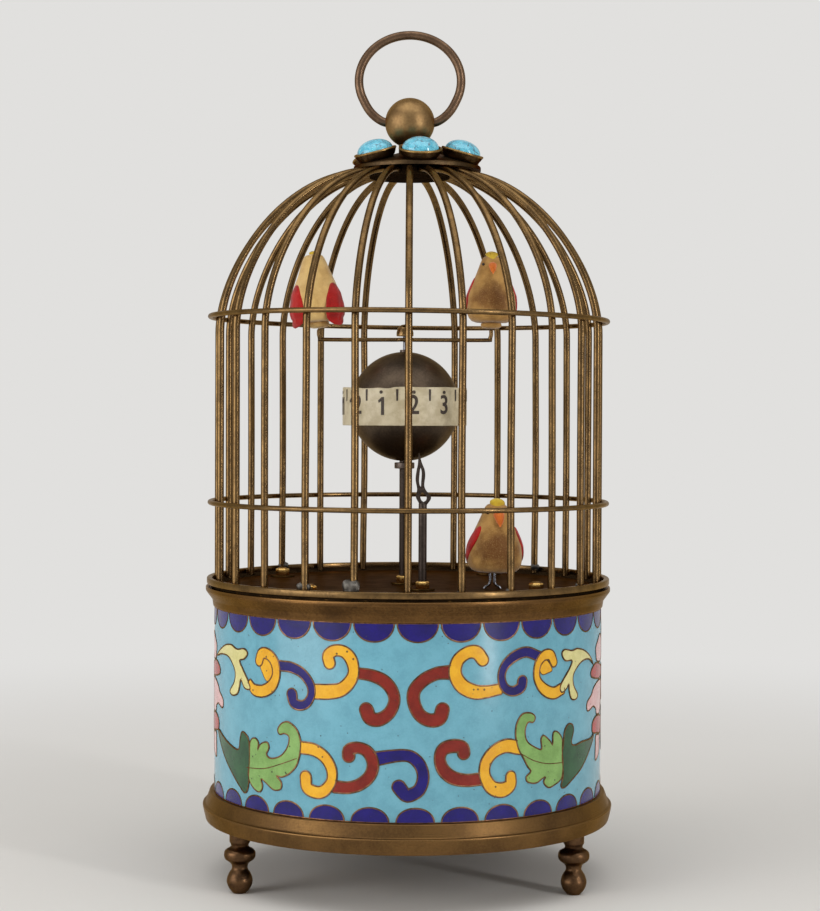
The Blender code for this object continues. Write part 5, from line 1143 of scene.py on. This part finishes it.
def makeBand():
    # a ring with a web into the globe; its upper edge waves a little and sinks at each dip
    low, high, radius, web = (bandForm[key] for key in ("low", "high", "radius", "web"))
    middle = globeForm["middle"]
    inner, tongue = radius - bandForm["thick"], globeForm["radius"] - bandForm["tongue"]
    side = [(radius, low), (radius, high), (inner, high), (inner, middle + web), (tongue, middle + web),
            (tongue, middle - web), (inner, middle - web), (inner, low)]
    points, faces = softLathe(side, 0.14, 144, globeForm["centre"])
    turn = np.arctan2(points[:, 1], points[:, 0] - globeForm["centre"][0])
    apart = [np.angle(np.exp(1j * (turn - math.radians(at)))) / math.radians(wide)
             for at, wide, _ in bandForm["dips"]]
    dips = sum(deep * np.exp(-(away**2)) for away, (_, _, deep) in zip(apart, bandForm["dips"]))
    wave = 0.06 + 0.03 * np.sin(9 * turn)
    points[:, 2] -= np.where(points[:, 2] > high - 0.5, wave + dips, 0)
    addPiece("hourBandCast", (points, faces), "ivory", ["hour_band"], body="globe")


def makeMarks():
    # each hour's figure with a dot over it, and a tick halfway to the next hour
    radius, step = bandForm["radius"], bandForm["step"]
    size, level = bandForm["dot"]
    long, wide, short = bandForm["tick"]
    top = bandForm["high"] - short
    shapes = []
    for hour in range(1, 13):
        at = math.radians(bandForm["first"] + step * hour) * radius
        figure, faces = figureShape(str(hour), bandForm["figure"][0])
        shapes.append(bandSlab(figure + (at, bandForm["figure"][1]), faces))
        dot, faces = fan(roundSection(size, 14) + (at, level))
        shapes.append(bandSlab(dot, faces))
        half = at + math.radians(step / 2) * radius
        tick, faces = fan([(half - wide / 2 + 0.06, top - long), (half + wide / 2 - 0.06, top - long),
                           (half + wide / 2, top - 0.24), (half - wide / 2, top - 0.24)])
        shapes.append(bandSlab(tick, faces))
    addPiece("hourMarks", joined(shapes), "ink", body="globe")


def makeGlobe():
    # the shells, the band with its marks, and the turned pipe that carries them
    makeShells()
    makeBand()
    makeMarks()
    shape = softLathe(pipeForm["profile"], pipeForm["round"], 32, globeForm["centre"], steps=2)
    addPiece("hourPipeTurned", shape, "pipe", ["hour_pipe"], body="globe")
    print("globe and band made")


# pointer

# the rod's radius and heights, then the hand's: eye and slot are where its openings are, as shares of
# its height, how far they reach up and down, and how wide they are
pointerForm = {"place": (2.8, -15.0), "radius": 0.8, "tip": 0.55, "foot": 55.8, "top": 75.0, "hand": 74.2,
               "tall": 10.3, "thick": 0.5, "chamfer": (0.06, 0.08), "eye": (0.17, 0.85 / 10.3, 0.6),
               "slot": (0.54, 0.17, 0.22)}


def makePointer():
    # a serpentine hand: a round eye low down, then two wavy strands with a slot between, then a point;
    # each half runs between the opening's edge and the outer edge, both measured from a wavy middle line
    x, y = pointerForm["place"]
    t = np.linspace(0, 1, 90)
    sway = 0.32 * np.sin(3.4 * np.pi * t) * (1 - t) - 0.75 * t
    half = 0.5 + 0.95 * np.exp(-(((t - 0.17) / 0.12) ** 2)) + 0.42 * np.exp(-(((t - 0.55) / 0.2) ** 2))
    half = half * (1 - 0.85 * np.clip(t - 0.7, 0, 1) / 0.3)
    opening = np.max([wide * np.sqrt(np.clip(1 - ((t - at) / reach) ** 2, 0, 1))
                      for at, reach, wide in (pointerForm["eye"], pointerForm["slot"])], 0)
    rise = pointerForm["hand"] + t * pointerForm["tall"]
    thick = pointerForm["thick"] / 2
    narrow, thin = pointerForm["chamfer"]
    shapes = []
    for way in (-1, 1):
        inner, outer = sway + way * opening, sway + way * half
        corners = [(inner, -thick), (outer - way * narrow, -thick), (outer, thin - thick),
                   (outer, thick - thin), (outer - way * narrow, thick), (inner, thick)]
        points = np.stack([np.column_stack([x + across, np.full(len(t), y + deep), rise])
                           for across, deep in corners], 1)
        shapes.append(grid(points, False, True))
    radius, tip, foot, top = (pointerForm[key] for key in ("radius", "tip", "foot", "top"))
    rod = [(0, foot), (radius, foot), (radius, top - 0.3), (tip, top), (0, top)]
    shapes.append(softLathe(rod, 0.12, 28, pointerForm["place"], False, 2))
    addPiece("pointerCut", joined(shapes), "pipe", ["pointer"], wearReach=0.05)
    print("pointer made")


# perch and birds

perchForm = {"centre": (-0.8, 0.0), "level": 106.8, "wire": 0.4, "arm": 17.2, "tip": 108.7, "swerve": 1.08,
             "nut": [(0.68, 107.5), (1.7, 107.5), (1.7, 108.22), (1.45, 109.18), (0.76, 109.78), (0, 109.9)]}
# a bird's side: (share of its height, distance out as a share of its radius); thick is a wing's
birdForm = {"side": [(0, 0.62), (0.02, 0.8), (0.07, 0.92), (0.14, 0.985), (0.24, 1.0), (0.4, 0.955),
                     (0.5, 0.86), (0.6, 0.755), (0.7, 0.65), (0.8, 0.555), (0.88, 0.48), (0.94, 0.41),
                     (0.98, 0.32), (1.0, 0)], "thick": 0.34, "pad": 1.6}
# each bird's place, seat, facing, lean, radius and height, then its wings: the middle and reach up the
# flank, how far they sweep back on their way down, how far behind the flank they sit, how far
# their lower tips stand off, and their width; chest is how dark it is in front
birds = {
    "left_bird": {"place": (-18.1, 0.0), "seat": 110.3, "facing": 176.0, "lean": -4.5, "size": (5.2, 13.6),
                  "body": "perch", "wing": (0.27, 0.29, 0.02, 0.52, 0.55, 0.58), "crest": 0.7,
                  "chest": 0.5, "beak": 0.9, "coat": "straw"},
    "right_bird": {"place": (16.4, 0.0), "seat": 110.3, "facing": 2.0, "lean": 0.5, "size": (5.0, 13.4),
                   "body": "perch", "wing": (0.42, 0.25, 0.25, 0.16, 0.1, 0.42), "crest": 0.85,
                   "chest": 0.85, "beak": 0.75, "coat": "tan"},
    "lower_bird": {"place": (16.9, -10.0), "seat": 61.2, "facing": 9.0, "lean": 1.5, "size": (5.5, 13.5),
                   "body": "case", "wing": (0.41, 0.26, 0.5, 0.1, 0.12, 0.5), "crest": 1.0,
                   "chest": 1.0, "beak": 1.0, "coat": "tan"},
}
# the staple's side: (distance from its middle, height); the doubled point makes a tight corner
legForm = {"place": (16.5, -10.0), "wire": 0.28,
           "side": [(1.56, 56.5), (1.56, 56.5), (1.56, 57.9), (1.248, 58.35), (0.585, 58.8), (0.45, 59.5),
                    (0.45, 61.9)]}


def birdSide(t):
    # a plump pear's distance out at a share t of its height, as a share of its radius
    share, out = np.array(birdForm["side"]).T
    return np.interp(t, share, out)


def birdBody(r, h, seed):
    # rows up the pear and columns round it, pressed in where folds run down from the head;
    # the chest value is 1 low down in front and falls towards the flanks
    rise = (1 - np.cos(np.linspace(0, np.pi, 64))) / 2
    turn = angles(72)[None, :]
    side = np.convolve(np.pad(birdSide(rise), 1, mode="edge"), [0.25, 0.5, 0.25], "valid")
    side[-1] = 0
    side, rise = np.concatenate([[0, 0.3], side]), np.concatenate([[0, 0], rise])
    folds = 0.022 * np.cos(5 * turn + seed) + 0.014 * np.cos(9 * turn + 12 * rise[:, None] + seed)
    out = r * side[:, None] * (1 + folds * np.sin(np.pi * rise)[:, None] - 0.02)
    points = np.stack([out * np.cos(turn), out * np.sin(turn) * (1 - 0.05 * np.abs(np.sin(turn))),
                       h * rise[:, None] + 0 * turn], -1)
    ahead = np.clip(-np.sin(turn), 0, 1) ** 1.5
    chest = ahead * np.exp(-(((rise[:, None] - 0.36) / 0.3) ** 2))
    return grid(points, False, True), chest.reshape(-1)


def birdWing(r, h, side, seed, form):
    # a thin leaf laid on the flank: u runs up it and v across
    middle, reach, sweepBack, behind, flare, span = form
    u, v = np.linspace(-1, 1, 33)[:, None], np.linspace(-1, 1, 29)[None, :]
    rise = middle + reach * u - 0.03 * (1 - u) * np.abs(v) ** 2
    span = np.sqrt(np.clip(1 - np.abs(u) ** 2.4, 0, 1)) * span * (1 - 0.25 * u)
    turn = behind - sweepBack * u + span * v
    turn = turn if side > 0 else np.pi - turn
    level = np.clip((1 - u**2) * (1 - v**2), 0, 1)
    vanes = 0.05 * np.sin(11 * v + 2.5 * u + seed) * np.clip(0.6 - u, 0, 1)
    stand = r * birdSide(np.clip(rise, 0.04, 1)) * 0.975 + flare * np.clip(0.35 - u, 0, 2) ** 1.6
    outer = stand + 0.02 + (birdForm["thick"] + vanes) * level**0.35
    inner = stand - 0.12 - 0.3 * np.clip(u, 0, 1)
    shells = [np.stack([out * np.cos(turn), out * np.sin(turn), h * rise + 0 * v], -1)
              for out in (outer, np.broadcast_to(inner, outer.shape))]
    return grid(np.concatenate([shells[0], shells[1][:, ::-1]], 1), False, True)


def birdPad(r, drop):
    # the flat oval of felt that a perched bird stands on
    bend = np.linspace(-np.pi / 2, np.pi / 2, 9)
    side = np.column_stack([0.42 * r * np.abs(np.cos(bend)) ** 0.6, 0.5 * drop * np.sin(bend) - 0.3 * drop])
    side[[0, -1], 0] = 0
    return lathe(side, 32)


def birdCrest(h, size, seed):
    # a cap over the brow and crown, a little ridge that stands highest at its middle
    t = np.linspace(0, 1, 24)
    rise = h + np.interp(t, [0, 0.22, 0.45, 0.7, 1], [-1.75, -0.6, 0.05, 0.25, -0.7]) * size
    path = np.stack([0.1 * np.sin(7 * t + seed), -1.85 + 2.7 * t, rise], 1)
    wide = 1.25 * size * (1 + 0.12 * np.sin(11 * t + seed))
    return sweep(path, (1, 0, 0), roundSection(1.0, 18) * (0.62 * size, 1.0),
                 scale=(0.5 + 0.6 * np.sin(np.pi * t)) * wide)


def birdBeak(r, h, size):
    # a cone that droops over the chest, its tip rounded
    t = np.linspace(0, 1, 18)
    path = np.stack([0 * t, -0.6 * r + 0.75 - 1.75 * size * t, 0.84 * h - size * (0.5 * t + 1.5 * t**2)], 1)
    return sweep(path, upright, roundSection(size, 18) * (1.08, 0.95), scale=np.sqrt(1 - (0.97 * t) ** 1.8))


def birdEyes(r, h):
    # two small dark beads set into the face
    bend = np.linspace(-np.pi / 2, np.pi / 2, 9)
    bead = lathe(np.column_stack([0.28 * np.cos(bend), 0.28 * np.sin(bend)]), 14)
    reach, level = 0.5 * r, 0.86 * h
    for turn in (-138, -42):
        at = math.radians(turn)
        yield moved(bead, Matrix.Translation((reach * math.cos(at), reach * math.sin(at), level)))


def makeBirds():
    # each bird's parts are made upright at the origin, facing the front, and then placed together
    for number, (name, form) in enumerate(birds.items()):
        placing = (Matrix.Translation((*form["place"], form["seat"]))
                   @ Matrix.Rotation(math.radians(form["lean"]), 4, "Y")
                   @ Matrix.Rotation(math.radians(form["facing"]), 4, "Z"))
        stem, body, seed = name.replace("_bird", "Bird"), form["body"], 1.7 * number
        coat = form["coat"]
        r, h = form["size"]
        shape, chest = birdBody(r, h, seed)
        addPiece(stem, moved(shape, placing), coat, [name], body=body, sharp=60,
                 chest=chest * form["chest"])
        wings = [moved(birdWing(r, h, side, seed, form["wing"]), placing) for side in (1, -1)]
        addPiece(stem + "Wings", joined(wings), "wing", body=body, sharp=70)
        if body == "perch":
            addPiece(stem + "Pad", moved(birdPad(r, birdForm["pad"]), placing), coat, body=body,
                     sharp=70)
        addPiece(stem + "Crest", moved(birdCrest(h, form["crest"], seed), placing), "crest", body=body,
                 sharp=70)
        addPiece(stem + "Eyes", joined(moved(eye, placing) for eye in birdEyes(r, h)), "ink", body=body)
        addPiece(stem + "Beak", moved(birdBeak(r, h, form["beak"]), placing), "beak", [name + "_beak"],
                 body=body, sharp=60)


def makeLegs():
    # the lower bird's staple comes up through its two holes and closes above the floor
    x, y = legForm["place"]
    side = legForm["side"]
    points = [(-across, rise) for across, rise in side[::-1]] + side
    path = smoothPath([(x + across, y, rise) for across, rise in points], 0.2)
    addPiece("lowerBirdLegsBent", sweep(path, (0, 1, 0), roundSection(legForm["wire"], 10)), "steel",
             ["lower_bird_legs"])
    print("perch and birds made:", len(birds))


def makePerch():
    # the wire runs up at each bird and swerves round the arbor in the middle
    x, y = perchForm["centre"]
    level, arm, tip, swerve = (perchForm[key] for key in ("level", "arm", "tip", "swerve"))
    half = np.array([(arm, 0, tip), (arm, 0, level + 1), (arm - 0.3, 0, level + 0.3), (arm - 1, 0, level),
                     (3, 0, level), (1.2, -0.8 * swerve, level)])
    path = np.concatenate([half, [(0, -swerve, level)], half[::-1] * (-1, 1, 1)]) + (x, y, 0)
    wire = sweep(smoothPath(path, 0.3), (0, 1, 0), roundSection(perchForm["wire"], 14))
    addPiece("perchBent", wire, "bars", ["perch_wire"], body="perch", wearReach=0.02)
    addPiece("perchNutTurned", softLathe(perchForm["nut"], 0.15, 36, (x, y), False), "bars",
             ["perch_nut"], body="perch")


# camera, light and surroundings

viewForm = {"distance": 421.0, "height": 92.0, "across": 0.3, "down": 1.13, "roll": 0.24, "lens": 83.2}
lightForm = {"right": {"turn": 47, "distance": 0.9, "low": 0.0, "size": (0.04, 0.7), "power": 5.2},
             "left": {"turn": -58, "distance": 0.9, "low": 0.0, "size": (0.3, 0.6), "power": 8.2},
             "top": {"turn": 0, "distance": 0.25, "low": 0.9, "size": (0.6, 0.6), "power": 7.6}}
panelForm = {"shares": (1.0, 1.6, 2.4), "rise": 0.3, "aim": 0.09}
surroundForm = {"floor": (226, 223, 218), "world": (225, 224, 222), "strength": 0.42, "fade": (0.08, 0.4)}


def shownShare(tree):
    # 1 for what the camera sees directly or through glass, part of it in reflections, 0 for other light
    path = tree.nodes.new("ShaderNodeLightPath")
    seen, glossy, through = (Socket(tree, path.outputs[name]) for name in
                             ("Is Camera Ray", "Is Glossy Ray", "Is Transmission Ray"))
    return seen.math("MAXIMUM", glossy * 0.35).math("MAXIMUM", through)


def makeCamera():
    # stands in front of the clock, looks slightly down and leans a little to its side
    camera = bpy.data.objects.new("camera", bpy.data.cameras.new("camera"))
    bpy.context.scene.collection.objects.link(camera)
    camera.data.lens = viewForm["lens"]
    camera.data.sensor_width = 36.0
    camera.data.clip_start = 0.01
    place = Matrix.Translation((viewForm["across"] * mm, -viewForm["distance"] * mm, viewForm["height"] * mm))
    camera.matrix_world = (place @ Matrix.Rotation(math.radians(90 - viewForm["down"]), 4, "X")
                           @ Matrix.Rotation(math.radians(viewForm["roll"]), 4, "Z"))
    bpy.context.scene.camera = camera
    bpy.context.scene.view_settings.view_transform = "Standard"


def makeLamps():
    # each lamp is three panels, one round the other, so that its reflection ends softly
    taller = [1 + panelForm["rise"] * (share - 1) for share in panelForm["shares"]]
    areas = [share * tall for share, tall in zip(panelForm["shares"], taller)]
    spot = Vector((0, 0, panelForm["aim"]))
    for name, value in lightForm.items():
        for share, stretch, area in zip(panelForm["shares"], taller, areas):
            lamp = bpy.data.objects.new(name + "Light", bpy.data.lights.new(name + "Light", "AREA"))
            lamp.data.shape = "RECTANGLE"
            wide, tall = value["size"]
            lamp.data.size = wide * share
            lamp.data.size_y = tall * stretch
            lamp.data.energy = value["power"] * area / sum(areas)
            bpy.context.scene.collection.objects.link(lamp)
            away = Vector((0, -value["distance"], value["low"]))
            at = spot + Matrix.Rotation(math.radians(value["turn"]), 3, "Z") @ away
            facing = (spot - at).to_track_quat("-Z", "Y")
            lamp.matrix_world = Matrix.Translation(at) @ facing.to_matrix().to_4x4()


def groundFinish():
    # a pale sheet that fades into the world's own tone with its distance
    ground = Finish("paleFloor")
    tone = surroundForm["floor"]
    color = ground.mix(ground.noise(60, 3.0), linear(*tone), linear(*(c - 4 for c in tone)))
    grain = ground.noise(1.2, 2.0)
    ground.bump(grain, 0.02)
    material = ground.done(Base_Color=color, Roughness=0.75 + grain * 0.1)
    away = ground.node("ShaderNodeVectorMath", {"operation": "LENGTH"}, {0: ground.place}, "Value")
    fade = ground.step(away, *surroundForm["fade"]) * shownShare(ground.tree)
    tone = linear(*surroundForm["world"])
    glow = ground.node("ShaderNodeEmission", inputs={"Color": tone, "Strength": 1.0})
    sheet = Socket(ground.tree, ground.shader.outputs[0])
    surface = ground.node("ShaderNodeMixShader", inputs={0: fade, 1: sheet, 2: glow})
    ground.tree.links.new(surface.end, ground.tree.nodes["Material Output"].inputs["Surface"])
    return material


def makeGround():
    # a wide disc whose rings grow with their distance
    reach = np.concatenate([[0], np.geomspace(60, 6000, 24)])
    points, faces = lathe(np.column_stack([reach, 0 * reach]), 96)
    mesh = bpy.data.meshes.new("paleFloor")
    mesh.from_pydata((points * mm).tolist(), [], faces[0].tolist())
    work = bmesh.new()
    work.from_mesh(mesh)
    bmesh.ops.remove_doubles(work, verts=work.verts, dist=1e-6)
    bmesh.ops.recalc_face_normals(work, faces=work.faces)
    if sum(face.normal.z for face in work.faces) < 0:
        bmesh.ops.reverse_faces(work, faces=work.faces)
    work.to_mesh(mesh)
    work.free()
    mesh.materials.append(groundFinish())
    sheet = bpy.data.objects.new("paleFloor", mesh)
    bpy.context.scene.collection.objects.link(sheet)


def makeWorld():
    # full strength where it is seen, less of it where it lights
    world = bpy.data.worlds.new("paleRoom")
    bpy.context.scene.world = world
    world.use_nodes = True
    tree = world.node_tree
    shader = tree.nodes["Background"]
    low = surroundForm["strength"]
    shader.inputs["Color"].default_value = linear(*surroundForm["world"])
    tree.links.new((shownShare(tree) * (1 - low) + low).end, shader.inputs["Strength"])
    print("camera, lamps and surroundings made")


# CAD nodes that keep their own shape

keptNodes = {
    "floor": ["bottom_cover", "floor_plate"],
    "works": ["hour_wheel", "bottom_plate", "top_plate", "barrel", "centre_wheel", "third_wheel",
              "escape_wheel", "balance_wheel", "motion_wheel", "set_knob", "winding_key"],
    "steel": ["perch_arbor", "mainspring", "pallet_lever", "hairspring", "minute_arbor", "winding_arbor",
              "click"],
}

makeFeet()
makeFlange()
makeDrum()
makeFloor()
makeNuts()
makeCage()
makeCrown()
makeStones()
makeFinial()
makeBail()
makeGlobe()
makePointer()
makePerch()
makeBirds()
makeLegs()
for finishName, names in keptNodes.items():
    for name in names:
        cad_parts[name].data.materials[0] = finishes[finishName]
makeCamera()
makeLamps()
makeGround()
makeWorld()
